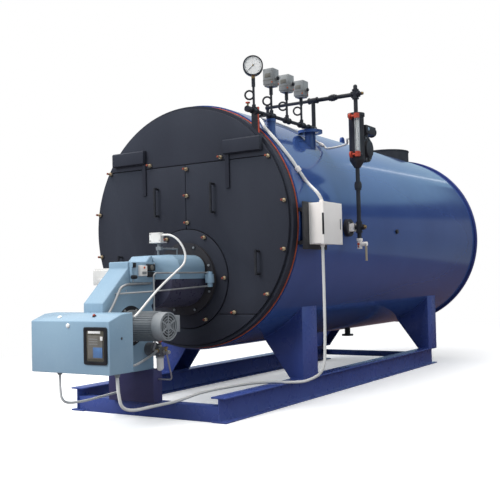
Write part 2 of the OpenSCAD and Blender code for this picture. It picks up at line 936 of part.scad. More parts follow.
// Half outline of the hood seen along the boiler: flat-topped with rounded corners, above its seam
module hood_outline(half, high, round) {
    intersection() {
        hull() {
            translate([-half, 0]) square([2 * half, 20]);
            for (s = [-1, 1]) translate([s * (half - round), high - round]) circle(r = round, $fn = 72);
        }
        translate([-half, 0]) square([2 * half, high]);
    }
}

module hood_slice(y, t, half, high, round) {
    translate([0, y + t, burner_h]) rotate([90, 0, 0]) linear_extrude(t) hood_outline(half, high, round);
}

// The hood over the burner head: it widens from the fan casing and is rounded off at the flange
module burner_head() {
    y0 = casing_back;
    y1 = y0 + hood_taper;
    y2 = y0 + head_len - 5;
    wide = hood_half;
    color(burner_paint) {
        hull() {
            hood_slice(y0, 1, casing_w / 2 + 6, head_r - 9, 50);
            hood_slice(y1, 1, wide, head_r, hood_round);
        }
        hull() {
            hood_slice(y1, y2 - y1 - 32, wide, head_r, hood_round);
            for (k = [[16, 5], [26, 13], [32, 26]])
                hood_slice(y2 - 33 + k[0], 1, wide - k[1], head_r - k[1], hood_round - k[1]);
        }
    }
}

// The dark drum under the hood, up to the flange
module burner_drum() {
    color(dark_paint) difference() {
        along_y(0, casing_back + 60, burner_h, drum_r, head_len - 60);
        translate([-drum_r - 1, casing_back, burner_h - 0.3])
            cube([2 * drum_r + 2, head_len + 10, drum_r + 1]);
    }
}

// The flange on the throat plate with the dark tube that leads in
module burner_flange() {
    y1 = front_setback - 10;
    color(iron) difference() {
        union() {
            along_y(0, y1 - burner_flange_t, burner_h, burner_flange_r, burner_flange_t);
            along_y(0, front_setback - head_gap, burner_h, tube_r - 8, head_gap + plate_t + end_t);
        }
        along_y(0, front_setback - head_gap + 20, burner_h, tube_r - 20, head_gap + plate_t + end_t);
    }
}

// Fan scroll, sloped intake and the box that joins the burner head
module fan_casing() {
    b = casing_back;
    z = burner_h;
    front = fan_y - scroll_r - 10;
    color(burner_paint) {
        along_x(-casing_w / 2, fan_y, fan_h, scroll_r, casing_w);
        side_slab(0, casing_w) polygon([
            [front, fan_h - 90], [front, z - 153], [b - 277, z + 82], [b - 277, z + 130],
            [b - 77, z + 130], [b - 27, z + 174], [b, z + 174], [b, z - 170], [fan_y, fan_h - 90]
        ]);
        block([-casing_w / 2, b - 240, stand_top], [casing_w / 2, b - 7, fan_h]);
    }
}

// Motor on the casing's right side, with a fan cowl at its end and a terminal box behind it
module fan_motor() {
    x0 = casing_w / 2;
    cowl = 75;
    box_x0 = x0 + motor_len - 150;
    box_y0 = fan_y + motor_r - 22;
    color(steel) {
        along_x(x0, fan_y, fan_h, motor_r + 14, 18);
        along_x(x0, fan_y, fan_h, motor_r - 5, motor_len - cowl);
        difference() {
            along_x(x0 + motor_len - cowl, fan_y, fan_h, motor_r, cowl);
            along_x(x0 + motor_len - 14, fan_y, fan_h, motor_r - 10, 20);
        }
        along_x(x0 + motor_len - 14, fan_y, fan_h, 26, 10);
        block([box_x0, box_y0, fan_h - 45], [box_x0 + 128, box_y0 + 74, fan_h + 70]);
    }
}

// Sheet-metal cabinet with a sloped front top edge
module control_panel() {
    y0 = panel_back - panel_depth;
    top = panel_low + panel_h;
    color(burner_paint) side_slab(0, panel_w) polygon([
        [y0, panel_low], [panel_back, panel_low], [panel_back, top],
        [y0 + panel_slope, top - 6], [y0, top - 6 - panel_slope_drop]
    ]);
}

// The framed window at the right of the panel's front
module panel_window() {
    y0 = panel_back - panel_depth;
    low = [panel_w / 2 - 15 - window_w, y0 - 14, panel_low + 66];
    inner = [window_w - 2 * window_rim, 9, window_h - 2 * window_rim];
    color(black) difference() {
        translate(low) cube([window_w, 14, window_h]);
        translate(low + [window_rim, -1, window_rim]) cube(inner);
    }
}

// The control box on the casing's right face, with its plugs
module burner_controls() {
    x0 = casing_w / 2;
    b = casing_back;
    z = burner_h;
    color(burner_paint) block([x0, b - 262, z - 18], [x0 + 24, b - 6, z + 124]);
    color(cream) block([x0 + 24, b - 190, z + 28], [x0 + 50, b - 124, z + 100]);
    color(black) {
        block([x0 + 24, b - 104, z + 62], [x0 + 44, b - 26, z + 110]);
        block([x0 + 24, b - 100, z + 20], [x0 + 40, b - 26, z + 54]);
        block([x0 + 24, b - 262, z + 88], [x0 + 34, b - 226, z + 120]);
    }
    color(steel) along_y(x0 + 36, b - 276, z + 20, 14, 44);
}

module ignition_box() {
    x1 = -casing_w / 2;
    y0 = casing_back - 267;
    color(cream) {
        block([x1 - 160, y0, burner_h - 31], [x1, y0 + 180, burner_h + 74]);
        block([x1 - 150, y0 + 10, burner_h + 74], [x1 - 10, y0 + 170, burner_h + 87]);
        along_y(x1 - 80, y0 - 22, burner_h - 50 + 50, 16, 22);
    }
}

// Gear pump on the casing with its valve block, and the filter bowl under it
module oil_pump() {
    x0 = casing_w / 2;
    x = x0 + 105;
    y = casing_back - 70;
    z = fan_h - 176;
    color(iron) {
        along_x(x0, y, z, 48, 62);
        along_x(x0 + 62, y, z, 38, 30);
        block([x - 30, y - 30, z - 44], [x + 30, y + 30, z + 16]);
        upright(x, y, z + 16, 11, 34);
    }
    color(red) upright(x, y, z + 50, 16, 18);
    color(cream) {
        upright(x, y, z - 58, 29, 16);
        upright(x, y, z - 128, 26, 72);
        translate([x, y, z - 128]) sphere(r = 26);
    }
}

// Oil lines round the burner, the fitting at the flange that two of them run to, and the panel's cable tube
module oil_lines() {
    x = casing_w / 2;
    y = casing_back - 70;
    z = burner_h;
    fit_x = 274;
    fit_y = front_setback - 80;
    riser = x + 116;
    color(cream) {
        pipe_run([
            [x + 135, y, fan_h - 196],
            [x + 165, y, fan_h - 196],
            [x + 165, y + 60, fan_h - 398],
            [stand_w * 0.3, y + 60, fan_h - 398]
        ], 6);
        pipe_run([
            [riser - 21, y - 30, fan_h - 180],
            [riser - 21, y - 66, fan_h - 180],
            [riser, y - 66, fan_h - 140],
            [riser, y - 66, z + 30],
            [riser + 5, y - 50, z + 46],
            [fit_x, fit_y, z + 44]
        ], 6);
        pipe_run([
            [x, y - 340, z - 93],
            [x + 30, y - 340, z - 93],
            [x + 130, y - 80, z - 84],
            [fit_x, fit_y, z - 58]
        ], 6);
        pipe_run([
            [x + 30, panel_back, z - 250],
            [x + 30, panel_back + 70, z - 170],
            [x + 30, panel_back + 150, z - 48],
            [x + 30, panel_back + 215, z - 30],
            [x + 14, casing_back - 50, z - 27]
        ], 9);
    }
    color(burner_paint) {
        upright(fit_x, fit_y, z - 34, 34, 66);
        upright(fit_x, fit_y, z - 66, 22, 118);
        along_y(fit_x - 24, fit_y, z - 4, 20, 80 - 10 - burner_flange_t);
    }
}

// Air pressure switch on a stem above the hood
module air_switch() {
    x = 27;
    y = front_setback - 380;
    z = burner_h + head_r;
    color(cream) {
        block([x - 54, y - 46, z + 98], [x + 50, y - 8, z + 167]);
        block([x - 56, y - 48, z + 90], [x + 54, y + 30, z + 98]);
        upright(x, y, z + 62, 13, 28);
    }
    color(iron) {
        block([x - 20, y - 14, z + 36], [x + 26, y + 14, z + 62]);
        upright(x - 8, y, z, 8, 36);
        along_y(x, y, z + 50, 6, 226);
        upright(x, y + 220, z, 5, 50);
    }
}

// Free cable of the air pressure switch: the points of its route
air_cable_route = [
    [77.3, 94, 1326], [110, 94, 1328], [160, 96, 1322], [215, 102, 1290], [255, 112, 1235],
    [278, 112, 1170], [286, 80, 1108], [292, -10, 1056], [300, -110, 1006], [306, -210, 952],
    [312, -300, 898], [318, -380, 846], [324, -450, 800], [330, -510, 764], [334, -545, 752],
    [335, -569.7, 750]
];

module air_switch_cable() {
    color(cream) swept(air_cable_route, 8, 3, 8);
}

skid_rails();
cross_members();
burner_stand();
front_legs();
rear_legs();
shell_cladding();
front_tube_plate();
rear_cover();
rear_access_cover();
flue_collar();
lifting_lugs();
shell_stubs();
front_ring();
front_gasket();
door_frame();
front_panels();
left_door();
right_door();
throat_plate();
hanger_arms();
door_handles();
header_bracket();
header_nozzles();
steam_header();
siphon_stems();
pressure_gauge();
pressure_switches();
column_pipes();
level_chamber();
gauge_glass();
glass_valves();
level_switch();
drain_cock();
junction_box();
column_valve();
shoulder_conduits();
panel_conduits();
burner_head();
burner_drum();
burner_flange();
fan_casing();
fan_motor();
control_panel();
panel_window();
burner_controls();
ignition_box();
oil_pump();
oil_lines();
air_switch();
air_switch_cable();
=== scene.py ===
"""Dresses the oil-fired boiler's CAD frame: paint, bolts, dial, glass, cables and small fittings."""

import math
from itertools import product

import bmesh
import bpy
from mathutils import Matrix, Quaternion, Vector


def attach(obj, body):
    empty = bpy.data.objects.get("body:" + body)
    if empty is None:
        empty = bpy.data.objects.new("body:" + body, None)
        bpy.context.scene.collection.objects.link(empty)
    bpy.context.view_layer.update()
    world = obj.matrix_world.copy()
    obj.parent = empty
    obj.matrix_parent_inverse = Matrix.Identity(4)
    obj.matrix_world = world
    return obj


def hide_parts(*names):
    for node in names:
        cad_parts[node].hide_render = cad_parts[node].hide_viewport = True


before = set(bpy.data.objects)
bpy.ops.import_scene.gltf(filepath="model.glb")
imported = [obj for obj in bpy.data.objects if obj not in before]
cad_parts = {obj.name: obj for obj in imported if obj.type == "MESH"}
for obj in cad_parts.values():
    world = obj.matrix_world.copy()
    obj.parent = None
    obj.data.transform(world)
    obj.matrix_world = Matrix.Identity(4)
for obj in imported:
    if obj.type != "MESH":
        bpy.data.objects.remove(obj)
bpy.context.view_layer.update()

# Directions
RIGHT = Vector((1, 0, 0))
LEFT = Vector((-1, 0, 0))
FORWARD = Vector((0, -1, 0))
BACKWARD = Vector((0, 1, 0))
UP = Vector((0, 0, 1))
DOWN = Vector((0, 0, -1))

# Places shared with the CAD, in metres
FRONT = 0.5
AXIS = 1.41
SHELL_R = 0.978
RAIL_TOP = 0.180
BURNER = 0.998
FAN = Vector((0, -0.29, 0.676))
PUMP_X = 0.195
PUMP_Y = -0.103
HEADER_X = 0.7
HEADER_END = 0.351
SWITCH_Y = (0.69, 0.93, 1.17)
COLUMN_X = 1.09
COLUMN_Y = 1.385
DRAIN_VALVE = 1.385
GLASS_X = 1.136
GLASS_Y = 1.297

scene = bpy.context.scene
scene.view_settings.view_transform = "Standard"


# Camera

def photo_camera():
    """The camera at the photograph's place, for a square image."""
    lens = bpy.data.cameras.new("photo_camera")
    lens.sensor_fit = "HORIZONTAL"
    lens.sensor_width = 36.0
    lens.lens = 58.21
    eye = bpy.data.objects.new("photo_camera", lens)
    across = Vector((0.8437, 0.5363, -0.02386)).normalized()
    ahead = Vector((-0.5354, 0.8439, 0.03602)).normalized()
    upward = across.cross(ahead).normalized()
    across = ahead.cross(upward).normalized()
    eye.matrix_world = Matrix((
        (across.x, upward.x, -ahead.x, 3.854),
        (across.y, upward.y, -ahead.y, -4.638),
        (across.z, upward.z, -ahead.z, 0.984),
        (0, 0, 0, 1),
    ))
    scene.collection.objects.link(eye)
    scene.camera = eye


photo_camera()


# Routes and cables

def smooth_curve(points, steps):
    """A Catmull-Rom curve through the points, as in the CAD."""
    p = [Vector(q) for q in points]
    out = []
    for i in range(len(p) - 1):
        a, b, c, d = p[max(i - 1, 0)], p[i], p[i + 1], p[min(i + 2, len(p) - 1)]
        for s in range(steps):
            u = s / steps
            out.append(b + 0.5 * u * (c - a) + 0.5 * u * u * (2 * a - 5 * b + 4 * c - d)
                       + 0.5 * u ** 3 * (3 * b - a - 3 * c + d))
    out.append(p[-1])
    return out


def bent_route(points, bend):
    """The points of a straight-sided route with each corner turned on a round bend."""
    p = [Vector(q) for q in points]
    out = [p[0]]
    for before, here, after in zip(p, p[1:], p[2:]):
        cut = min(bend, 0.45 * (here - before).length, 0.45 * (after - here).length)
        start = here + (before - here).normalized() * cut
        end = here + (after - here).normalized() * cut
        out += [start.lerp(here, t / 6).lerp(here.lerp(end, t / 6), t / 6) for t in range(7)]
    return out + [p[-1]]


def cable(name, runs, surface, steps=6):
    """Round cables along smooth routes, as one curve with closed ends; a run is its points and its radius."""
    curve = bpy.data.curves.new(name, "CURVE")
    curve.dimensions = "3D"
    curve.bevel_depth = max(radius for _, radius in runs)
    curve.bevel_resolution = 4
    curve.use_fill_caps = True
    for points, radius in runs:
        line = curve.splines.new("POLY")
        route = smooth_curve(points, steps)
        line.points.add(len(route) - 1)
        for spot, q in zip(line.points, route):
            spot.co = (q.x, q.y, q.z, 1)
            spot.radius = radius / curve.bevel_depth
        line.use_smooth = True
    piece = bpy.data.objects.new(name, curve)
    scene.collection.objects.link(piece)
    curve.materials.append(surface)
    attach(piece, "root")
    return piece


# Solid pieces

def finish_piece(name, bm, surfaces, crease=35):
    """Turns a bmesh into a piece that rides on the boiler."""
    mesh = bpy.data.meshes.new(name)
    bm.to_mesh(mesh)
    bm.free()
    for surface in surfaces:
        mesh.materials.append(surface)
    mesh.shade_smooth()
    mesh.set_sharp_from_angle(angle=math.radians(crease))
    piece = bpy.data.objects.new(name, mesh)
    scene.collection.objects.link(piece)
    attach(piece, "root")
    return piece


def bevelled(bm, edges, width, segments, clamp):
    """Rounds edges of a bmesh, and may hold the width back where edges are close."""
    bmesh.ops.bevel(bm, geom=edges, offset=width, offset_type="OFFSET", affect="EDGES", segments=segments,
                    profile=0.5, clamp_overlap=clamp, material=-1)


def rounded_node(node, width, surfaces, pick=None, corner=0.0):
    """A copy of a CAD node with rounded edges and a surface picked per face, which stands for the node.

    A corner radius first rounds the edges that run along Y.
    """
    bm = bmesh.new()
    bm.from_mesh(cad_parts[node].data)
    bmesh.ops.remove_doubles(bm, verts=bm.verts, dist=2e-5)
    bmesh.ops.dissolve_limit(bm, angle_limit=math.radians(0.4), verts=bm.verts, edges=bm.edges)
    if corner:
        along = [e for e in bm.edges if abs((e.verts[0].co - e.verts[1].co).normalized().y) > 0.99]
        bevelled(bm, along, corner, 5, clamp=True)
    least = math.radians(30)
    sharp = [e for e in bm.edges if len(e.link_faces) == 2 and e.calc_face_angle(0) > least]
    bevelled(bm, sharp, width, 2, clamp=True)
    for f in bm.faces:
        f.material_index = pick(f.calc_center_median()) if pick else 0
    piece = finish_piece(node + "_rounded", bm, surfaces, crease=40)
    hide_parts(node)


def turned(direction):
    """A turn that takes +Z to a direction."""
    return UP.rotation_difference(Vector(direction)).to_matrix().to_4x4()


def around(count, radius, start=0.0, step=None):
    """Offsets of fixings on a circle, from a start angle and in equal steps, in degrees."""
    step = step or 360 / count
    turns = [math.radians(start + step * k) for k in range(count)]
    return [(radius * math.cos(a), radius * math.sin(a)) for a in turns]


class Fitting:
    """A piece in the making: a mesh that small shapes are added to, each in its own surface."""

    def __init__(self, name, slot):
        self.name = name
        self.slot = slot
        self.bm = bmesh.new()
        self.surfaces = []

    def paint(self, faces, surface):
        """Gives faces a surface."""
        if surface not in self.surfaces:
            self.surfaces.append(surface)
        for f in faces:
            f.material_index = self.surfaces.index(surface)

    def disc(self, at, direction, radius, length, surface, segments=24, top=None):
        """Adds a closed drum that stands on a point along a direction, tapered to a top radius."""
        made = bmesh.ops.create_cone(self.bm, cap_ends=True, segments=segments, radius1=radius,
                                     radius2=radius if top is None else top, depth=length)["verts"]
        place = Matrix.Translation(Vector(at)) @ turned(direction) @ Matrix.Translation((0, 0, length / 2))
        bmesh.ops.transform(self.bm, matrix=place, verts=made)
        self.paint({f for v in made for f in v.link_faces}, surface)

    def brick(self, low, high, surface, bevel=0.0):
        """Adds a box between two corners, with rounded edges, and gives back its vertices."""
        before = set(self.bm.verts)
        made = bmesh.ops.create_cube(self.bm, size=1)["verts"]
        low, high = Vector(low), Vector(high)
        bmesh.ops.scale(self.bm, vec=high - low, verts=made)
        bmesh.ops.translate(self.bm, vec=(low + high) / 2, verts=made)
        self.paint({f for v in made for f in v.link_faces}, surface)
        if bevel:
            edges = list(dict.fromkeys(e for v in made for e in v.link_edges))
            bevelled(self.bm, edges, bevel, 2, clamp=False)
        return [v for v in self.bm.verts if v not in before]

    def lathe(self, at, direction, profile, surface, steps=32):
        """Adds a turned form: points of radius and height, spun round a direction."""
        before = set(self.bm.faces)
        place = Matrix.Translation(Vector(at)) @ turned(direction)
        verts = [self.bm.verts.new(place @ Vector((r, 0, h))) for r, h in profile]
        edges = [self.bm.edges.new(pair) for pair in zip(verts, verts[1:])]
        bmesh.ops.spin(self.bm, geom=verts + edges, cent=Vector(at), axis=Vector(direction).normalized(),
                       angle=2 * math.pi, steps=steps, use_merge=True)
        made = [f for f in self.bm.faces if f not in before]
        self.paint(made, surface)
        bmesh.ops.remove_doubles(self.bm, verts=list({v for f in made for v in f.verts}), dist=1e-6)
        bmesh.ops.recalc_face_normals(self.bm, faces=[f for f in self.bm.faces if f not in before])

    def hex_bolt(self, at, direction, size, nut, washer, tall=1.0):
        """Adds a washer, a hexagon nut and the bolt's end, standing on a face."""
        at = Vector(at)
        rise = direction * size * tall
        self.disc(at, direction, size * 1.7, size * 0.3 * tall, washer, 20)
        self.disc(at + rise * 0.3, direction, size, size * 0.8 * tall, nut, 6, top=size * 0.94)
        self.disc(at + rise * 1.1, direction, size * 0.5, size * 0.3 * tall, nut, 10, top=size * 0.4)

    def turn(self, verts, degrees, axis, shift=(0, 0, 0)):
        """Turns vertices about an axis through the origin, then shifts them."""
        spun = Matrix.Rotation(math.radians(degrees), 4, axis)
        bmesh.ops.transform(self.bm, matrix=Matrix.Translation(shift) @ spun, verts=verts)

    def move(self, matrix):
        """Takes the whole mesh to its place."""
        bmesh.ops.transform(self.bm, matrix=matrix, verts=self.bm.verts)

    def done(self):
        """Turns the mesh into a piece."""
        finish_piece(self.name, self.bm, self.surfaces)


# Shader nodes

def feed(link, value, socket):
    """Gives a socket a plain value, or a link from another socket."""
    if isinstance(value, bpy.types.NodeSocket):
        link(value, socket)
    else:
        socket.default_value = value


def noise(nodes, link, vector, scale, detail=2.0):
    """The value of a noise texture."""
    made = nodes.new("ShaderNodeTexNoise")
    made.inputs["Detail"].default_value = detail
    link(vector, made.inputs["Vector"])
    feed(link, scale, made.inputs["Scale"])
    return made.outputs["Fac"]


def span(nodes, link, value, source, target=(0.0, 1.0), smooth=False):
    """A value taken from one range to another."""
    made = nodes.new("ShaderNodeMapRange")
    if smooth:
        made.interpolation_type = "SMOOTHSTEP"
    link(value, made.inputs["Value"])
    for name, end in zip(("From Min", "From Max", "To Min", "To Max"), (*source, *target)):
        feed(link, end, made.inputs[name])
    return made.outputs["Result"]


def mixed(nodes, link, factor, a, b):
    """A mix of two colours."""
    made = nodes.new("ShaderNodeMix")
    made.data_type = "RGBA"
    link(factor, made.inputs["Factor"])
    feed(link, a, made.inputs["A"])
    feed(link, b, made.inputs["B"])
    return made.outputs["Result"]


def reckon(nodes, link, kind, *values):
    """The result of a Math node."""
    made = nodes.new("ShaderNodeMath")
    made.operation = kind
    for socket, value in zip(made.inputs, values):
        feed(link, value, socket)
    return made.outputs["Value"]


def new_group(name, takes, gives):
    """An empty node group with named sockets, and its nodes, links, inputs and outputs."""
    group = bpy.data.node_groups.new(name, "ShaderNodeTree")
    for way, sockets in (("INPUT", takes), ("OUTPUT", gives)):
        for title, kind in sockets:
            group.interface.new_socket(name=title, in_out=way, socket_type="NodeSocket" + kind)
    come = group.nodes.new("NodeGroupInput")
    go = group.nodes.new("NodeGroupOutput")
    return group, group.nodes, group.links.new, come.outputs, go.inputs


def weathered_group():
    """Colour that drifts over the surface, with a fine grain for gloss and bump."""
    takes = (("Vector", "Vector"), ("Base", "Color"), ("Shade", "Color"), ("Drift Scale", "Float"),
             ("Grain Scale", "Float"), ("Rough Low", "Float"), ("Rough High", "Float"))
    gives = (("Color", "Color"), ("Roughness", "Float"), ("Height", "Float"))
    group, n, link, come, go = new_group("weathered_paint", takes, gives)
    drift = noise(n, link, come["Vector"], come["Drift Scale"], 5.0)
    grain = noise(n, link, come["Vector"], come["Grain Scale"], 3.0)
    link(mixed(n, link, span(n, link, drift, (0.36, 0.66)), come["Base"], come["Shade"]), go["Color"])
    link(span(n, link, grain, (0.3, 0.7), (come["Rough Low"], come["Rough High"])), go["Roughness"])
    link(grain, go["Height"])
    return group


def dust_group():
    """A colour under pale dust that thins out with height above the floor."""
    takes = (("Vector", "Vector"), ("Color", "Color"), ("Dust", "Color"), ("Reach", "Float"),
             ("Amount", "Float"))
    group, n, link, come, go = new_group("floor_dust", takes, (("Color", "Color"),))
    split = n.new("ShaderNodeSeparateXYZ")
    link(come["Vector"], split.inputs["Vector"])
    low = span(n, link, split.outputs["Z"], (0.0, come["Reach"]), (1.0, 0.0), smooth=True)
    cloud = noise(n, link, come["Vector"], 9.0, 6.0)
    share = reckon(n, link, "MULTIPLY", reckon(n, link, "MULTIPLY", low, cloud), come["Amount"])
    link(mixed(n, link, share, come["Color"], come["Dust"]), go["Color"])
    return group


WEATHERED = weathered_group()
DUST = dust_group()


# Surfaces

def new_surface(name):
    """An empty material, its nodes and links, and its Object coordinates."""
    material = bpy.data.materials.new(name)
    material.use_nodes = True
    nodes = material.node_tree.nodes
    place = nodes.new("ShaderNodeTexCoord").outputs["Object"]
    return material, nodes, material.node_tree.links.new, place


def finish(name, base, shade, rough, drift=2.0, grain=60.0, bump=0.05, metal=0.0, coat=0.0, dust=0.0,
           reach=0.3, stretch=None, specular=0.5):
    """A surface from the groups: base and shade colours, a roughness range, grain bump and floor dust."""
    material, n, link, place = new_surface(name)
    material.diffuse_color = (*base, 1)
    shader = n["Principled BSDF"]
    shader.inputs["Metallic"].default_value = metal
    shader.inputs["Specular IOR Level"].default_value = specular
    shader.inputs["Coat Weight"].default_value = coat
    shader.inputs["Coat Roughness"].default_value = 0.08
    vector = place
    if stretch:
        squeeze = n.new("ShaderNodeMapping")
        squeeze.inputs["Scale"].default_value = stretch
        link(place, squeeze.inputs["Vector"])
        vector = squeeze.outputs["Vector"]
    worn = n.new("ShaderNodeGroup")
    worn.node_tree = WEATHERED
    link(vector, worn.inputs["Vector"])
    worn.inputs["Base"].default_value = (*base, 1)
    worn.inputs["Shade"].default_value = (*shade, 1)
    worn.inputs["Drift Scale"].default_value = drift
    worn.inputs["Grain Scale"].default_value = grain
    worn.inputs["Rough Low"].default_value = rough[0]
    worn.inputs["Rough High"].default_value = rough[1]
    colour = worn.outputs["Color"]
    if dust:
        dusty = n.new("ShaderNodeGroup")
        dusty.node_tree = DUST
        link(place, dusty.inputs["Vector"])
        link(colour, dusty.inputs["Color"])
        dusty.inputs["Dust"].default_value = (0.42, 0.41, 0.40, 1)
        dusty.inputs["Reach"].default_value = reach
        dusty.inputs["Amount"].default_value = dust
        colour = dusty.outputs["Color"]
    link(colour, shader.inputs["Base Color"])
    link(worn.outputs["Roughness"], shader.inputs["Roughness"])
    if bump:
        relief = n.new("ShaderNodeBump")
        relief.inputs["Strength"].default_value = bump
        relief.inputs["Distance"].default_value = 0.002
        link(worn.outputs["Height"], relief.inputs["Height"])
        link(relief.outputs["Normal"], shader.inputs["Normal"])
    return material


def clear_glass(name, tint):
    """Clear glass with a faint smear in its gloss."""
    material, n, link, place = new_surface(name)
    shader = n["Principled BSDF"]
    shader.inputs["Base Color"].default_value = (*tint, 1)
    shader.inputs["Transmission Weight"].default_value = 0.92
    shader.inputs["IOR"].default_value = 1.45
    smear = noise(n, link, place, 40.0)
    link(span(n, link, smear, (0.0, 1.0), (0.03, 0.11)), shader.inputs["Roughness"])
    return material


def thin_pane(name):
    """A thin flat pane: the light passes, and a little of the room shows on it."""
    material, n, link, place = new_surface(name)
    through = n.new("ShaderNodeBsdfTransparent")
    through.inputs["Color"].default_value = (0.99, 0.985, 0.98, 1)
    gloss = n.new("ShaderNodeBsdfGlossy")
    smear = noise(n, link, place, 30.0)
    link(span(n, link, smear, (0.0, 1.0), (0.02, 0.09)), gloss.inputs["Roughness"])
    both = n.new("ShaderNodeMixShader")
    both.inputs["Fac"].default_value = 0.03
    link(through.outputs["BSDF"], both.inputs[1])
    link(gloss.outputs["BSDF"], both.inputs[2])
    link(both.outputs["Shader"], n["Material Output"].inputs["Surface"])
    n.remove(n["Principled BSDF"])
    return material


# Paint of the shell, skid and front
shell_blue = finish("shell_blue", (0.040, 0.086, 0.262), (0.034, 0.074, 0.232), (0.11, 0.17), drift=1.4,
                    grain=7.0, bump=0.012, coat=0.35)
rim_navy = finish("rim_navy", (0.030, 0.042, 0.190), (0.027, 0.038, 0.172), (0.26, 0.34), drift=2.0,
                  grain=9.0, bump=0.0)
skid_blue = finish("skid_blue", (0.058, 0.092, 0.320), (0.050, 0.080, 0.285), (0.24, 0.34), drift=3.0,
                   grain=9.0, bump=0.0, dust=0.04, reach=0.2)
stand_navy = finish("stand_navy", (0.056, 0.053, 0.150), (0.049, 0.046, 0.132), (0.38, 0.5), drift=5.0,
                    grain=60.0, bump=0.04, dust=0.1)
front_black = finish("front_black", (0.036, 0.039, 0.052), (0.029, 0.031, 0.042), (0.42, 0.6), drift=2.6,
                     grain=90.0, bump=0.12, stretch=(1.0, 1.0, 0.35), specular=0.26)
gasket_red = finish("gasket_red", (0.640, 0.130, 0.055), (0.460, 0.085, 0.040), (0.6, 0.8), drift=18.0,
                    grain=120.0, bump=0.2)

# Paint and iron of the fittings
fitting_black = finish("fitting_black", (0.020, 0.020, 0.025), (0.032, 0.032, 0.036), (0.36, 0.55),
                       drift=14.0, grain=120.0, bump=0.15)
pipe_black = finish("pipe_black", (0.018, 0.018, 0.024), (0.035, 0.035, 0.040), (0.34, 0.5), drift=12.0,
                    grain=140.0, bump=0.12)
dark_iron = finish("dark_iron", (0.030, 0.028, 0.034), (0.045, 0.040, 0.040), (0.5, 0.7), drift=10.0,
                   grain=110.0, bump=0.25)
switch_grey = finish("switch_grey", (0.300, 0.305, 0.300), (0.230, 0.235, 0.235), (0.34, 0.5), drift=14.0,
                     grain=90.0, bump=0.05)
valve_red = finish("valve_red", (0.520, 0.075, 0.040), (0.400, 0.055, 0.030), (0.35, 0.5), drift=20.0,
                   grain=120.0, bump=0.08)

# Paint of the burner, with painted shade on the drum
burner_blue = finish("burner_blue", (0.285, 0.410, 0.515), (0.255, 0.375, 0.485), (0.18, 0.28), drift=3.0,
                     grain=80.0, bump=0.06, specular=0.4)
# Painted shade: the drum's dark navy, darker than the burner's blue, stands in for the shade the drum lies in
# under the hood
drum_shade_navy = finish("drum_shade_navy", (0.084, 0.079, 0.122), (0.078, 0.074, 0.114), (0.26, 0.34), drift=4.0,
                   grain=40.0, bump=0.015, coat=0.2)
motor_grey = finish("motor_grey", (0.285, 0.298, 0.310), (0.240, 0.252, 0.262), (0.38, 0.55), drift=9.0,
                    grain=110.0, bump=0.1)
pump_grey = finish("pump_grey", (0.200, 0.200, 0.206), (0.140, 0.140, 0.146), (0.34, 0.5), drift=16.0,
                   grain=120.0, bump=0.12, metal=0.4)

# Plastics
box_white = finish("box_white", (0.930, 0.872, 0.826), (0.885, 0.824, 0.776), (0.42, 0.55), drift=6.0,
                   grain=130.0, bump=0.04)
box_cream = finish("box_cream", (0.720, 0.705, 0.680), (0.640, 0.620, 0.590), (0.42, 0.55), drift=8.0,
                   grain=130.0, bump=0.04)
conduit_white = finish("conduit_white", (0.800, 0.782, 0.755), (0.730, 0.708, 0.675), (0.4, 0.55), drift=5.0,
                       grain=120.0, bump=0.08)
dial_white = finish("dial_white", (0.930, 0.925, 0.910), (0.890, 0.885, 0.870), (0.45, 0.55), drift=10.0,
                    grain=140.0, bump=0.0)
module_grey = finish("module_grey", (0.150, 0.142, 0.122), (0.190, 0.180, 0.158), (0.35, 0.5), drift=18.0,
                     grain=120.0, bump=0.05)
module_black = finish("module_black", (0.012, 0.012, 0.014), (0.020, 0.020, 0.022), (0.32, 0.45), drift=18.0,
                      grain=140.0, bump=0.04)
module_blue = finish("module_blue", (0.110, 0.230, 0.470), (0.090, 0.190, 0.400), (0.35, 0.5), drift=18.0,
                     grain=120.0, bump=0.03)
olive_back = finish("olive_back", (0.105, 0.100, 0.075), (0.080, 0.076, 0.058), (0.5, 0.65), drift=16.0,
                    grain=120.0, bump=0.03)
tip_red = finish("tip_red", (0.300, 0.070, 0.040), (0.210, 0.050, 0.030), (0.45, 0.6), drift=40.0,
                 grain=120.0, bump=0.05)
dot_orange = finish("dot_orange", (0.700, 0.120, 0.030), (0.560, 0.090, 0.020), (0.35, 0.5), drift=60.0,
                    grain=120.0, bump=0.02)

# Bare metal and glass
tube_steel = finish("tube_steel", (0.620, 0.620, 0.610), (0.470, 0.470, 0.460), (0.28, 0.42), drift=12.0,
                    grain=150.0, bump=0.05, metal=0.7)
hose_braid = finish("hose_braid", (0.700, 0.700, 0.695), (0.400, 0.400, 0.400), (0.3, 0.45), drift=160.0,
                    grain=260.0, bump=0.6, metal=0.5)
dull_brass = finish("dull_brass", (0.620, 0.440, 0.190), (0.480, 0.330, 0.150), (0.28, 0.45), drift=24.0,
                    grain=150.0, bump=0.08, metal=0.9)
stud_brass = finish("stud_brass", (0.780, 0.640, 0.430), (0.620, 0.460, 0.290), (0.32, 0.48), drift=30.0,
                    grain=150.0, bump=0.05, metal=0.35)
tube_beige = finish("tube_beige", (0.560, 0.470, 0.330), (0.450, 0.370, 0.250), (0.4, 0.55), drift=14.0,
                    grain=120.0, bump=0.05)
sight_glass = clear_glass("sight_glass", (0.93, 0.96, 0.95))
flat_pane = thin_pane("flat_pane")

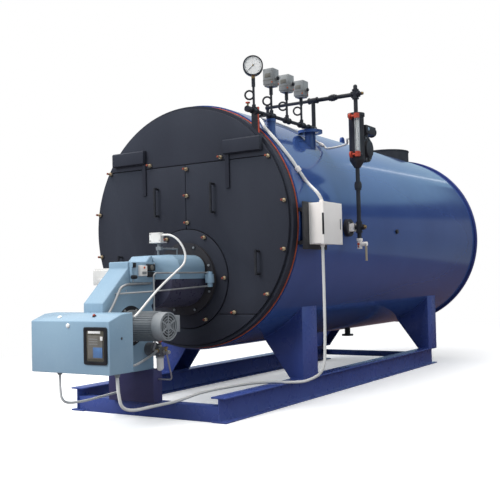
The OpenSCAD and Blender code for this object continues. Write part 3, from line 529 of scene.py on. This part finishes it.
# Surfaces of the CAD nodes
SURFACE_NODES = (
    (shell_blue, "shell_cladding lifting_lugs header_nozzles"),
    (rim_navy, "rear_cover rear_access_cover"),
    (skid_blue, "skid_rails cross_members front_legs rear_legs"),
    (stand_navy, "burner_stand"),
    # the drum's dark navy is painted shade
    (drum_shade_navy, "burner_drum"),
    (front_black, "front_ring front_panels left_door right_door throat_plate hanger_arms"),
    (fitting_black, "door_handles header_bracket flue_collar shell_stubs level_chamber level_switch"),
    (fitting_black, "pressure_gauge"),
    (module_black, "panel_window"),
    (dark_iron, "front_tube_plate door_frame burner_flange"),
    (pump_grey, "oil_pump"),
    (pipe_black, "steam_header siphon_stems column_pipes"),
    (gasket_red, "front_gasket"),
    (valve_red, "glass_valves"),
    (sight_glass, "gauge_glass"),
    (dull_brass, "drain_cock"),
    (burner_blue, "burner_head fan_casing control_panel burner_controls"),
    (motor_grey, "fan_motor"),
    (switch_grey, "pressure_switches"),
    (box_white, "junction_box column_valve"),
    (box_cream, "ignition_box air_switch"),
    (tube_steel, "oil_lines"),
    (conduit_white, "shoulder_conduits panel_conduits air_switch_cable"),
)
NODE_SURFACE = {node: surface for surface, nodes in SURFACE_NODES for node in nodes.split()}
for node, surface in NODE_SURFACE.items():
    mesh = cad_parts[node].data
    mesh.materials.clear()
    mesh.materials.append(surface)

# Cables: the routes are those of the CAD

AIR_CABLE = [
    (0.0773, 0.094, 1.326), (0.110, 0.094, 1.328), (0.160, 0.096, 1.322), (0.215, 0.102, 1.290),
    (0.255, 0.112, 1.235), (0.278, 0.112, 1.170), (0.286, 0.080, 1.108), (0.292, -0.010, 1.056),
    (0.300, -0.110, 1.006), (0.306, -0.210, 0.952), (0.312, -0.300, 0.898), (0.318, -0.380, 0.846),
    (0.324, -0.450, 0.800), (0.330, -0.510, 0.764), (0.334, -0.545, 0.752), (0.335, -0.5697, 0.750),
]
air_cable = cable("air_switch_lead", [(AIR_CABLE, 0.008)], conduit_white, steps=3)
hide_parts("air_switch_cable")

NOZZLE_ANGLE = math.degrees(math.acos(HEADER_X / SHELL_R))


def off_shell(angle, behind, off):
    """A point off the shell, at an angle from the header's stubs, behind the front face."""
    a = math.radians(NOZZLE_ANGLE + angle)
    return (SHELL_R + off) * math.cos(a), FRONT + behind, AXIS + (SHELL_R + off) * math.sin(a)


# The conduit over the shoulder: a thick run to the junction box, and a thin one from its end to the column
TO_BOX = [off_shell(angle, behind, 0.015) for angle, behind in (
    (14.4, 0.300), (8.4, 0.215), (3.4, 0.138), (-1.6, 0.117), (-7.6, 0.128), (-15.6, 0.172), (-21.6, 0.215),
)] + [off_shell(-27, 0.262, 0.024), (1.058, 0.725, 1.620), (1.080, 0.747, 1.569), (1.080, 0.747, 1.5403)]
TO_COLUMN = [off_shell(*spot) for spot in (
    (14.4, 0.300, 0.015), (16.4, 0.350, 0.011), (18.4, 0.480, 0.011), (17.4, 0.700, 0.011),
    (11.4, 0.880, 0.011), (4.4, 0.985, 0.014), (-0.6, 1.012, 0.024), (-3.6, 0.995, 0.044),
)] + [(0.970, 1.425, 2.080), (1.004, 1.385, 2.115), (1.0276, 1.385, 2.118)]
shoulder = cable("shoulder_conduit_runs", [(TO_BOX, 0.0125), (TO_COLUMN, 0.009)], conduit_white)
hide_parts("shoulder_conduits")

BOX_SIDE = [
    (1.080, 0.749, 1.2347), (1.080, 0.749, 1.170), (1.080, 0.751, 0.900), (1.075, 0.753, 0.500),
    (1.050, 0.753, 0.300), (0.920, 0.762, 0.212), (0.760, 0.750, 0.1905), (0.640, 0.725, 0.1905),
    (0.480, 0.600, 0.182), (0.330, 0.250, 0.160), (0.280, -0.010, 0.127), (0.290, -0.300, 0.130),
    (0.300, -0.520, 0.136), (0.310, -0.640, 0.175), (0.315, -0.680, 0.260), (0.315, -0.690, 0.355),
    (0.315, -0.690, 0.3947),
]
STAND_SIDE = [
    (-0.190, -0.700, 0.3947), (-0.190, -0.700, 0.355), (-0.190, -0.698, 0.270), (-0.192, -0.680, 0.205),
    (-0.196, -0.620, 0.170), (-0.200, -0.480, 0.160), (-0.205, -0.300, 0.165), (-0.210, -0.140, 0.172),
    (-0.210, -0.1003, 0.172),
]
panel_runs = cable("panel_conduit_runs", [(BOX_SIDE, 0.011), (STAND_SIDE, 0.009)], conduit_white)
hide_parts("panel_conduits")

# Rounded edges on the sheet-metal, cast and moulded pieces
for node, width in (
    ("control_panel", 0.006), ("fan_casing", 0.008), ("ignition_box", 0.008), ("pressure_switches", 0.006),
    ("hanger_arms", 0.004), ("burner_stand", 0.004), ("left_door", 0.003), ("right_door", 0.003),
    ("front_panels", 0.003), ("throat_plate", 0.004), ("level_switch", 0.005),
    ("skid_rails", 0.003), ("cross_members", 0.003), ("front_legs", 0.003), ("rear_legs", 0.003),
    ("level_chamber", 0.004), ("fan_motor", 0.003), ("rear_cover", 0.004), ("rear_access_cover", 0.004),
):
    rounded_node(node, width, [NODE_SURFACE[node]])
rounded_node("panel_window", 0.003, [module_black], corner=0.014)


# Rounded pieces in more than one surface

def controls_paint(c):
    """The burner's control box is blue, with one white module and black ones on it."""
    if c.x < 0.1142:
        return 0
    return 1 if -0.226 < c.y < -0.154 and c.z > 1.024 else 2


def pump_paint(c):
    """The pump is grey iron, with a red knob on top and a white bowl under it."""
    return 1 if c.z > 0.549 else 2 if c.z < 0.443 else 0


rounded_node("junction_box", 0.008, [box_white, fitting_black], lambda c: 1 if c.x < 1.0202 else 0)
rounded_node("column_valve", 0.003, [box_white, fitting_black], lambda c: 1 if c.x < 1.0128 else 0)
rounded_node("burner_controls", 0.003, [burner_blue, box_white, module_black], controls_paint)
rounded_node("oil_pump", 0.003, [pump_grey, valve_red, box_white], pump_paint)
rounded_node("air_switch", 0.004, [box_cream, motor_grey], lambda c: 0 if c.z > 1.262 else 1)
rounded_node("drain_cock", 0.002, [box_white, tube_beige], lambda c: 1 if c.x > 1.13 and c.z < 1.228 else 0)
rounded_node("pressure_gauge", 0.003, [fitting_black, dull_brass], lambda c: 1 if c.z < 2.497 else 0)

# Oil lines with round bends, and the fitting at the flange that two of them enter

PUMP_DROP = [(0.225, PUMP_Y, 0.480), (0.255, PUMP_Y, 0.480), (0.255, -0.043, 0.278), (0.129, -0.043, 0.278)]
NOZZLE_FEED = [
    (0.185, -0.133, 0.496), (0.185, -0.169, 0.496), (0.206, -0.169, 0.536), (0.206, -0.169, 1.028),
    (0.211, -0.153, 1.044), (0.274, 0.420, 1.042),
]
NOZZLE_RETURN = [
    (0.090, -0.443, 0.905), (0.120, -0.443, 0.905), (0.220, -0.183, 0.914), (0.274, 0.420, 0.940),
]
PANEL_LINE = [
    (0.120, -0.570, 0.748), (0.120, -0.500, 0.828), (0.120, -0.420, 0.950), (0.120, -0.355, 0.968),
    (0.104, -0.083, 0.971),
]
bent_lines = cable("oil_lines_bent", [
    (bent_route(PUMP_DROP, 0.030), 0.006),
    (bent_route(NOZZLE_FEED, 0.025), 0.006),
    (bent_route(NOZZLE_RETURN, 0.060), 0.006),
    (bent_route(PANEL_LINE, 0.045), 0.009),
], tube_steel, steps=1)
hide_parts("oil_lines")

joint = Fitting("line_fitting", "line_tube")
joint.disc((0.274, 0.420, 0.964), UP, 0.034, 0.066, burner_blue, 32)
joint.disc((0.274, 0.420, 0.932), UP, 0.022, 0.118, burner_blue, 32)
joint.disc((0.250, 0.420, 0.994), BACKWARD, 0.020, 0.040, burner_blue, 32)
joint.done()


# Bolts

def door_stud(piece, at, length=0.052):
    """Adds a long stud of a front door: a dark washer, a brass nut, the stud and its red tip."""
    at = Vector(at)
    piece.disc(at, FORWARD, 0.021, 0.005, fitting_black, 20)
    piece.disc(at + FORWARD * 0.005, FORWARD, 0.0145, 0.014, stud_brass, 6, top=0.0138)
    piece.disc(at + FORWARD * 0.019, FORWARD, 0.0088, length - 0.026, stud_brass, 14)
    piece.disc(at + FORWARD * (length - 0.007), FORWARD, 0.0092, 0.007, tip_red, 14, top=0.0078)


DOOR_RING = 0.918
studs = Fitting("front_studs", "cock_brass")
for side in (1, -1):
    for angle in (32.1, 9.3, -13.2, -36.0):
        a = math.radians(angle)
        door_stud(studs, (side * DOOR_RING * math.cos(a), FRONT, AXIS + DOOR_RING * math.sin(a)))
    door_stud(studs, (side * 0.35, FRONT, 1.930))
    door_stud(studs, (side * 0.445, FRONT, 0.735))
for z in (1.867, 1.655, 1.441):
    door_stud(studs, (0.018, FRONT, z))
for u, v in around(6, 0.368):
    door_stud(studs, (u, FRONT - 0.01, BURNER + v), 0.04)
studs.done()

flange_bolts = Fitting("burner_flange_bolts", "motor_paint")
for u, v in around(8, 0.262, 22.5):
    flange_bolts.hex_bolt((u, FRONT - 0.04, BURNER + v), FORWARD, 0.010, motor_grey, fitting_black)
flange_bolts.done()

back_bolts = Fitting("rear_bolts", "shell_paint")
for u, v in around(24, 0.935, 7.5):
    back_bolts.hex_bolt((u, 4.904, AXIS + v), BACKWARD, 0.013, rim_navy, rim_navy)
for u, v in around(12, 0.275, 15):
    back_bolts.hex_bolt((u, 4.922, AXIS + v), BACKWARD, 0.011, rim_navy, rim_navy, tall=0.6)
back_bolts.done()

# On the level switch's cover, the drain valve and the rear header nozzle
column_bolts = Fitting("column_bolts", "motor_paint")
for u, v in around(8, 0.093, 22.5):
    column_bolts.hex_bolt((1.114, 1.535 + u, 2.04 + v), RIGHT, 0.008, motor_grey, fitting_black)
for u, v in around(4, 0.057, 45):
    column_bolts.hex_bolt((1.0127, COLUMN_Y + u, DRAIN_VALVE + v), RIGHT, 0.007, motor_grey, fitting_black)
for u, v in around(6, 0.082, 30):
    column_bolts.hex_bolt((HEADER_X + u, 1.315 + v, 2.210), UP, 0.008, motor_grey, fitting_black)
column_bolts.done()

HANDWHEEL = [(0, 0), (0.016, 0), (0.018, 0.004), (0.016, 0.010), (0, 0.011)]
plugs = Fitting("column_plugs", "cock_brass")
plugs.disc((1.138, COLUMN_Y, DRAIN_VALVE), RIGHT, 0.015, 0.014, dull_brass, 6, top=0.0138)
plugs.disc((1.150, COLUMN_Y, 2.475), RIGHT, 0.013, 0.009, dull_brass, 6, top=0.012)
plugs.disc((COLUMN_X, COLUMN_Y - 0.019, 1.247), FORWARD, 0.010, 0.010, valve_red, 16, top=0.008)
plugs.disc((COLUMN_X, COLUMN_Y - 0.019, 1.226), FORWARD, 0.006, 0.006, valve_red, 12)
plugs.disc((HEADER_X, HEADER_END, 2.256), UP, 0.007, 0.022, dull_brass, 12)
plugs.lathe((HEADER_X, HEADER_END, 2.276), UP, HANDWHEEL, valve_red, 24)
plugs.done()

# Gauge: built flat at the origin, then taken to its place on the first stem

GAUGE = Matrix(((0.848, 0, 0.53, HEADER_X), (0.53, 0, -0.848, 0.435), (0, 1, 0, 2.57), (0, 0, 0, 1)))
HUB = [(0.006, 0), (0.006, 0.003), (0.004, 0.0042), (0, 0.0042)]
BEZEL = [(0.0668, 0), (0.0705, 0.0038), (0.0738, 0.0048), (0.0748, 0.0020)]
dial = Fitting("gauge_dial", "white_box")
dial.disc((0, 0, 0.0202), UP, 0.066, 0.001, dial_white, 48)
for k in range(41):
    half, inner = (0.0011, 0.049) if k % 5 == 0 else (0.0005, 0.055)
    tick = dial.brick((-half, inner, 0.0211), (half, 0.061, 0.0217), module_black)
    dial.turn(tick, 135 - 270 * k / 40, "Z")
hand = dial.brick((-0.0016, -0.014, 0.0228), (0.0016, 0.050, 0.0236), module_black)
dial.turn(hand, 135, "Z")
dial.lathe((0, 0, 0.0212), UP, HUB, dull_brass, 20)
dial.lathe((0, 0, 0.0226), UP, BEZEL, fitting_black, 64)
dial.move(GAUGE)
dial.done()

pane = Fitting("gauge_pane", "sight_glass")
pane.disc((0, 0, 0.0252), UP, 0.0668, 0.0012, flat_pane, 48)
pane.move(GAUGE)
pane.done()

# Switches on the header: dots, screws, a blank plate, the lid's joint and a cable entry

ENTRY = [(0.012, -0.002), (0.0155, 0), (0.0155, 0.007), (0.009, 0.013), (0.0, 0.013)]
trims = Fitting("switch_trims", "grey_box")
for y in SWITCH_Y:
    trims.disc((0.735, y - 0.042, 2.488), FORWARD, 0.006, 0.004, dot_orange, 16, top=0.005)
    trims.disc((0.745, y + 0.036, 2.486), RIGHT, 0.005, 0.003, dot_orange, 14)
    for x in (0.666, 0.734):
        trims.disc((x, y - 0.042, 2.586), FORWARD, 0.0045, 0.0025, tube_steel, 12)
    trims.brick((0.672, y - 0.0438, 2.528), (0.722, y - 0.0418, 2.560), module_grey, 0.0006)
    trims.brick((0.654, y - 0.0432, 2.5065), (0.746, y + 0.0492, 2.5095), module_grey)
    trims.lathe((0.759, y + 0.003, 2.521), RIGHT, ENTRY, module_black, 20)
trims.done()

edge = Fitting("bracket_edge", "valve_red")
edge.brick((0.6730, 0.5303, 2.085), (0.6812, 0.5428, 2.284), valve_red, 0.0004)
edge.done()

# Water glass: guard rods, a pale strip behind, a nut at each end, and the level switch's blue cap

LOW_NUT = [(0.013, 0), (0.015, 0.003), (0.015, 0.012), (0.012, 0.014)]
TOP_NUT = [(0.012, 0), (0.015, 0.002), (0.015, 0.012), (0.013, 0.014)]
guard = Fitting("glass_guard", "line_tube")
for dx in (-0.019, 0.019):
    guard.disc((GLASS_X + dx, GLASS_Y, 1.985), UP, 0.0038, 0.280, tube_steel, 12)
guard.brick((1.127, 1.3105, 1.995), (1.145, 1.3125, 2.255), dial_white, 0.0006)
guard.lathe((GLASS_X, GLASS_Y, 1.985), UP, LOW_NUT, tube_steel, 20)
guard.lathe((GLASS_X, GLASS_Y, 2.251), UP, TOP_NUT, tube_steel, 20)
guard.disc((1.1378, 1.520, 2.203), RIGHT, 0.015, 0.004, burner_blue, 20, top=0.013)
guard.done()

# Junction box: lid screws, latch and hinge, then the glands of all conduits and the shoulder run's sleeves

GLAND = [(0.010, -0.001), (0.019, 0), (0.019, 0.009), (0.0165, 0.011), (0.0165, 0.020), (0.011, 0.026)]
fixings = Fitting("box_fixings", "white_box")
for y, z in product((0.673, 0.947), (1.248, 1.527)):
    fixings.disc((1.142, y, z), RIGHT, 0.007, 0.0025, box_white, 16, top=0.006)
fixings.brick((1.1285, 0.6535, 1.300), (1.1425, 0.6625, 1.460), module_black, 0.002)
fixings.brick((1.1415, 0.925, 1.345), (1.1465, 0.934, 1.425), motor_grey, 0.001)
fixings.lathe((1.080, 0.747, 1.5395), UP, GLAND, box_white, 24)
fixings.lathe((1.080, 0.749, 1.2355), DOWN, GLAND, box_white, 24)
fixings.lathe((0.315, -0.690, 0.3955), DOWN, GLAND, motor_grey, 24)
fixings.lathe((-0.190, -0.700, 0.3955), DOWN, GLAND, motor_grey, 24)
fixings.lathe((0.335, -0.5705, 0.750), BACKWARD, [(r * 0.8, h) for r, h in GLAND], motor_grey, 24)
for run, k, radius in ((TO_BOX, 35, 0.021), (TO_COLUMN, 1, 0.016), (TO_COLUMN, 34, 0.016)):
    route = smooth_curve(run, 6)
    way = (route[k + 1] - route[k - 1]).normalized()
    sleeve = [(radius * 0.6, 0), (radius, 0.002), (radius, 0.038), (radius * 0.6, 0.040)]
    fixings.lathe(route[k] - way * 0.020, way, sleeve, box_white, 20)
fixings.done()

# Control panel: the unit behind the window in plain blocks, frame screws, two knobs, a lamp and a side lock

KNOB = [(0.0, 0.0), (0.015, 0.0), (0.0155, 0.003), (0.014, 0.008), (0.009, 0.012), (0.0, 0.0132)]
LAMP_RING = [(0, 0), (0.013, 0), (0.013, 0.006), (0.010, 0.008)]
LAMP_LENS = [(0.0098, 0), (0.0098, 0.005), (0.007, 0.009), (0, 0.0105)]
SLOPE = Vector((0, -0.33, 0.944))
LAMP = Vector((0.155, -0.722, 0.7643))
panel = Fitting("panel_fittings", "white_box")
panel.brick((0.163, -0.8075, 0.483), (0.315, -0.8055, 0.679), olive_back, 0.0005)
panel.brick((0.178, -0.8105, 0.660), (0.283, -0.8070, 0.676), dial_white, 0.001)
panel.brick((0.176, -0.8110, 0.500), (0.302, -0.8070, 0.648), module_grey, 0.0015)
panel.brick((0.284, -0.8120, 0.617), (0.305, -0.8095, 0.642), dial_white, 0.001)
panel.brick((0.222, -0.8120, 0.506), (0.302, -0.8095, 0.573), module_blue, 0.0015)
for z in (0.590, 0.606, 0.622):
    panel.brick((0.186, -0.8118, z), (0.262, -0.8108, z + 0.006), switch_grey, 0.0004)
for x, z in product((0.152, 0.326), (0.472, 0.690)):
    panel.disc((x, -0.8130, z), FORWARD, 0.0045, 0.0009, tube_steel, 14)
panel.lathe((-0.004, -0.8002, 0.708), FORWARD, KNOB, dial_white, 28)
panel.lathe((-0.135, -0.745, 0.7563), SLOPE, KNOB, dial_white, 28)
panel.lathe(LAMP, SLOPE, LAMP_RING, module_black, 24)
panel.lathe(LAMP + SLOPE * 0.007, SLOPE, LAMP_LENS, valve_red, 24)
panel.disc((0.352, -0.683, 0.622), RIGHT, 0.0085, 0.003, module_black, 20, top=0.0075)
panel.brick((0.3548, -0.6845, 0.617), (0.3556, -0.6815, 0.627), tube_steel)
panel.done()

cover = Fitting("panel_pane", "sight_glass")
cover.brick((0.164, -0.8134, 0.484), (0.314, -0.8124, 0.678), flat_pane, 0.0003)
cover.done()

# Fan motor: cooling ribs clear of the terminal box, the grille in the cowl, screws and flange bolts

motor = Fitting("motor_fittings", "motor_paint")
for angle in range(0, 360, 9):
    if math.cos(math.radians(angle)) > 0.72:
        continue
    rib = motor.brick((0.128, 0.0968, -0.0014), (0.346, 0.1045, 0.0014), motor_grey)
    motor.turn(rib, angle, "X", FAN)
HUB_CAP = [(0.022, 0), (0.022, 0.008), (0.018, 0.011), (0, 0.011)]
motor.disc(FAN + RIGHT * 0.4161, RIGHT, 0.0875, 0.001, module_black, 48)
motor.lathe(FAN + RIGHT * 0.417, RIGHT, HUB_CAP, motor_grey, 28)
for r in (0.040, 0.058, 0.078):
    hoop = [(r - 0.004, 0), (r - 0.004, 0.006), (r + 0.004, 0.006), (r + 0.004, 0)]
    motor.lathe(FAN + RIGHT * 0.4185, RIGHT, hoop, motor_grey, 48)
for angle in range(30, 360, 60):
    spoke = motor.brick((0.4175, 0.018, -0.006), (0.4265, 0.087, 0.006), motor_grey, 0.001)
    motor.turn(spoke, angle, "X", FAN)
for x, z in product((0.292, 0.396), (0.643, 0.734)):
    motor.disc((x, -0.1405, z), BACKWARD, 0.005, 0.003, tube_steel, 14)
for u, v in around(6, 0.122):
    motor.hex_bolt(FAN + Vector((0.090, u, v)), RIGHT, 0.007, tube_steel, tube_steel)
motor.done()

# Oil pump: a braided hose from the panel, unions on the lines, a gauge plug, cover screws and the bowl's ring

BRAID = [
    (0.338, -0.5695, 0.434), (0.330, -0.520, 0.436), (0.306, -0.440, 0.446), (0.272, -0.340, 0.460),
    (0.240, -0.245, 0.474), (0.212, -0.170, 0.487), (0.198, -0.134, 0.492),
]
cable("pump_hose", [(BRAID, 0.0085)], hose_braid)

UNION = [
    (0.0, 0.0), (0.013, 0.0), (0.0155, 0.002), (0.0155, 0.014), (0.011, 0.016), (0.011, 0.026),
    (0.007, 0.028),
]
GAUGE_PLUG = [(0.009, 0), (0.009, 0.020), (0.014, 0.022), (0.014, 0.032), (0, 0.036)]
CAP_NUT = [(0.016, 0), (0.018, 0.003), (0.018, 0.012), (0.012, 0.015)]
BOWL_RING = [(0.027, 0), (0.0315, 0.002), (0.0315, 0.012), (0.027, 0.014)]
pump = Fitting("pump_unions", "line_tube")
pump.lathe((0.228, PUMP_Y, 0.480), RIGHT, UNION, tube_steel, 6)
pump.lathe((0.282, PUMP_Y, 0.480), LEFT, UNION, tube_steel, 6)
pump.lathe((0.252, PUMP_Y, 0.486), UP, GAUGE_PLUG, dull_brass, 20)
pump.lathe((0.198, -0.140, 0.492), BACKWARD, UNION, dull_brass, 6)
pump.lathe((PUMP_X, PUMP_Y, 0.5165), UP, CAP_NUT, tube_steel, 6)
for dx, z in product((-0.021, 0.021), (0.466, 0.506)):
    pump.disc((PUMP_X + dx, -0.133, z), FORWARD, 0.0055, 0.004, tube_steel, 6)
pump.lathe((PUMP_X, PUMP_Y, 0.437), UP, BOWL_RING, tube_steel, 32)
pump.done()

# Fan casing: screws on each side, the inlet round the motor, and a lead's gland by the ignition box

INLET = (0.0898, FAN.y, FAN.z)
LEAD_GLAND = [(0.020, 0), (0.020, 0.012), (0.014, 0.016), (0.014, 0.072), (0.010, 0.078), (0, 0.078)]
LEAD_TIP = [(0.006, 0), (0.006, 0.022), (0.009, 0.024), (0.009, 0.036), (0, 0.038)]
casing = Fitting("casing_fittings", "burner_paint")
for out in (RIGHT, LEFT):
    for u, v in around(7, 0.252, 100, 28):
        casing.disc(FAN + out * 0.090 + Vector((0, u, v)), out, 0.0065, 0.004, tube_steel, 6, top=0.006)
casing.lathe(INLET, RIGHT, [(0.100, 0), (0.100, 0.0014), (0.142, 0.0014), (0.142, 0)], module_black, 56)
casing.lathe(INLET, RIGHT, [(0.142, 0), (0.142, 0.004), (0.149, 0.004), (0.149, 0)], burner_blue, 56)
casing.lathe((-0.0895, -0.215, 0.915), LEFT, LEAD_GLAND, burner_blue, 28)
casing.lathe((-0.1665, -0.215, 0.915), LEFT, LEAD_TIP, dull_brass, 20)
casing.done()

# Burner control box and air switch: a dial, a button, a plate and screws

CONTROL_DIAL = [(0, 0.006), (0.012, 0.006), (0.017, 0.004), (0.018, 0)]
controls = Fitting("control_fittings", "grey_box")
controls.lathe((0.134, -0.098, 1.084), RIGHT, CONTROL_DIAL, module_grey, 28)
controls.disc((0.140, -0.190, 1.084), RIGHT, 0.008, 0.003, dot_orange, 18)
controls.brick((0.1395, -0.214, 1.036), (0.1412, -0.166, 1.056), switch_grey, 0.0006)
for y, z in product((-0.287, -0.047), (0.990, 1.112)):
    controls.disc((0.114, y, z), RIGHT, 0.005, 0.003, tube_steel, 14)
for x, z in product((-0.018, 0.068), (1.288, 1.339)):
    controls.disc((x, 0.074, z), FORWARD, 0.0045, 0.002, tube_steel, 14)
controls.done()

# Welds where the legs meet the shell and the rails

WELD = 0.005
SADDLE_X = [0.362 + 0.036 * k for k in range(11)]
welds = []
for y, side in product((1.045, 1.295, 3.900, 4.150), (1, -1)):
    saddle = [(side * x, y, AXIS - math.sqrt(SHELL_R ** 2 - x * x) - 0.001) for x in SADDLE_X]
    foot = [(side * x, y, RAIL_TOP) for x in (0.605, 0.66, 0.722)]
    welds += [(saddle, WELD), (foot, WELD)]
cable("leg_welds", welds, skid_blue, steps=2)


# Floor, light and backdrop

WHITE = (1.0, 1.0, 1.0, 1)


def by_ray(nodes, link, seen, felt, ray="Is Camera Ray"):
    """A colour that is one thing to one kind of ray and another to every other."""
    path = nodes.new("ShaderNodeLightPath")
    return mixed(nodes, link, path.outputs[ray], felt, seen)


def ring_fade(nodes, link, distance, near, far, inner, outer):
    """A colour that changes with the distance from the boiler, between two rings on the floor."""
    return mixed(nodes, link, span(nodes, link, distance, (inner, outer), smooth=True), near, far)


def studio_floor():
    """A floor that is white to the camera but for the shadow, mid grey to the light, and in gloss grey with a
    painted shadow near the boiler.
    """
    bm = bmesh.new()
    bmesh.ops.create_grid(bm, x_segments=1, y_segments=1, size=40)
    mesh = bpy.data.meshes.new("studio_floor")
    bm.to_mesh(mesh)
    bm.free()
    floor = bpy.data.objects.new("studio_floor", mesh)
    scene.collection.objects.link(floor)
    pale, n, link, place = new_surface("floor_pale")
    shader = n["Principled BSDF"]
    shader.inputs["Roughness"].default_value = 0.9
    shader.inputs["Specular IOR Level"].default_value = 0.0
    squash = n.new("ShaderNodeMapping")
    squash.inputs["Location"].default_value = (0, -1.1, 0)
    squash.inputs["Scale"].default_value = (1, 0.5, 1)
    link(place, squash.inputs["Vector"])
    away = n.new("ShaderNodeVectorMath")
    away.operation = "LENGTH"
    link(squash.outputs["Vector"], away.inputs[0])
    distance = away.outputs["Value"]
    # Painted shadow: gloss rays see the floor darker near the boiler, standing in for the shadow around it,
    # and grey further out
    mirrored = ring_fade(n, link, distance, (0.125, 0.085, 0.10, 1), (0.25, 0.26, 0.28, 1), 4.4, 5.6)
    felt = by_ray(n, link, mirrored, (0.30, 0.30, 0.31, 1), "Is Glossy Ray")
    seen = ring_fade(n, link, distance, (0.86, 0.86, 0.86, 1), (0.0, 0.0, 0.0, 1), 2.0, 5.0)
    glow = ring_fade(n, link, distance, (0.30, 0.30, 0.30, 1), WHITE, 2.0, 5.0)
    link(by_ray(n, link, seen, felt), shader.inputs["Base Color"])
    link(by_ray(n, link, glow, (0.0, 0.0, 0.0, 1)), shader.inputs["Emission Color"])
    shader.inputs["Emission Strength"].default_value = 1.0
    mesh.materials.append(pale)


# The hall that gloss and diffuse light see, from level to straight up
HALL = (
    (0.0, (0.15, 0.16, 0.18)), (0.245, (0.17, 0.18, 0.20)), (0.265, (0.03, 0.025, 0.05)),
    (0.330, (0.045, 0.035, 0.06)), (0.350, (0.31, 0.50, 0.62)), (0.45, (0.37, 0.55, 0.67)),
    (0.7, (0.53, 0.58, 0.64)), (1.0, (0.95, 0.88, 0.82)),
)


def studio_world():
    """White to the camera; to other rays a hall: mid walls, a dark band above them and a bright roof."""
    world = bpy.data.worlds.new("studio_world")
    scene.world = world
    world.use_nodes = True
    n, link = world.node_tree.nodes, world.node_tree.links.new
    split = n.new("ShaderNodeSeparateXYZ")
    link(n.new("ShaderNodeTexCoord").outputs["Generated"], split.inputs["Vector"])
    x, y, z = (split.outputs[k] for k in "XYZ")
    right = reckon(n, link, "MAXIMUM", x, 0.0)
    left = reckon(n, link, "MAXIMUM", reckon(n, link, "MULTIPLY", x, -1.0), 0.0)
    behind = reckon(n, link, "MULTIPLY", left, reckon(n, link, "MAXIMUM", y, 0.0))
    height = reckon(n, link, "MULTIPLY_ADD", behind, 0.9, reckon(n, link, "MULTIPLY_ADD", right, 0.29, z))
    hall = n.new("ShaderNodeValToRGB")
    ramp = hall.color_ramp.elements
    for stop, (spot, tone) in zip((ramp[0], ramp[1]), (HALL[0], HALL[-1])):
        stop.position = spot
        stop.color = (*tone, 1)
    for spot, tone in HALL[1:-1]:
        ramp.new(spot).color = (*tone, 1)
    link(height, hall.inputs["Fac"])
    clear = by_ray(n, link, WHITE, hall.outputs["Color"], "Is Transmission Ray")
    sky = n["Background"]
    link(by_ray(n, link, WHITE, clear), sky.inputs["Color"])
    sky.inputs["Strength"].default_value = 1.0


def softbox(name, place, aim, size, power, turn=0.0, mirrored=False):
    """A rectangular lamp at a place, aimed at a point and turned about its beam; gloss may mirror it."""
    lamp = bpy.data.lights.new(name, "AREA")
    lamp.shape = "RECTANGLE"
    lamp.size, lamp.size_y = size
    lamp.energy = power
    o = bpy.data.objects.new(name, lamp)
    o.location = place
    o.visible_glossy = mirrored
    aimed = (Vector(aim) - Vector(place)).to_track_quat("-Z", "Y")
    o.rotation_euler = (aimed @ Quaternion((0, 0, 1), math.radians(turn))).to_euler()
    scene.collection.objects.link(o)


studio_floor()
studio_world()
softbox("overhead", (-0.7, 0.8, 6.5), (-0.2, 1.3, 1.0), (6.0, 8.0), 470)
softbox("strip", (0.15, 13.5, 6.0), (0.15, 13.5, 0.0), (0.16, 7.0), 5, turn=10.6, mirrored=True)
softbox("right", (5.0, 3.5, 2.6), (1.0, 1.0, 1.3), (2.0, 2.0), 40)
softbox("front", (-1.5, -6.5, 4.2), (0.0, 0.0, 1.0), (4.0, 3.0), 340)
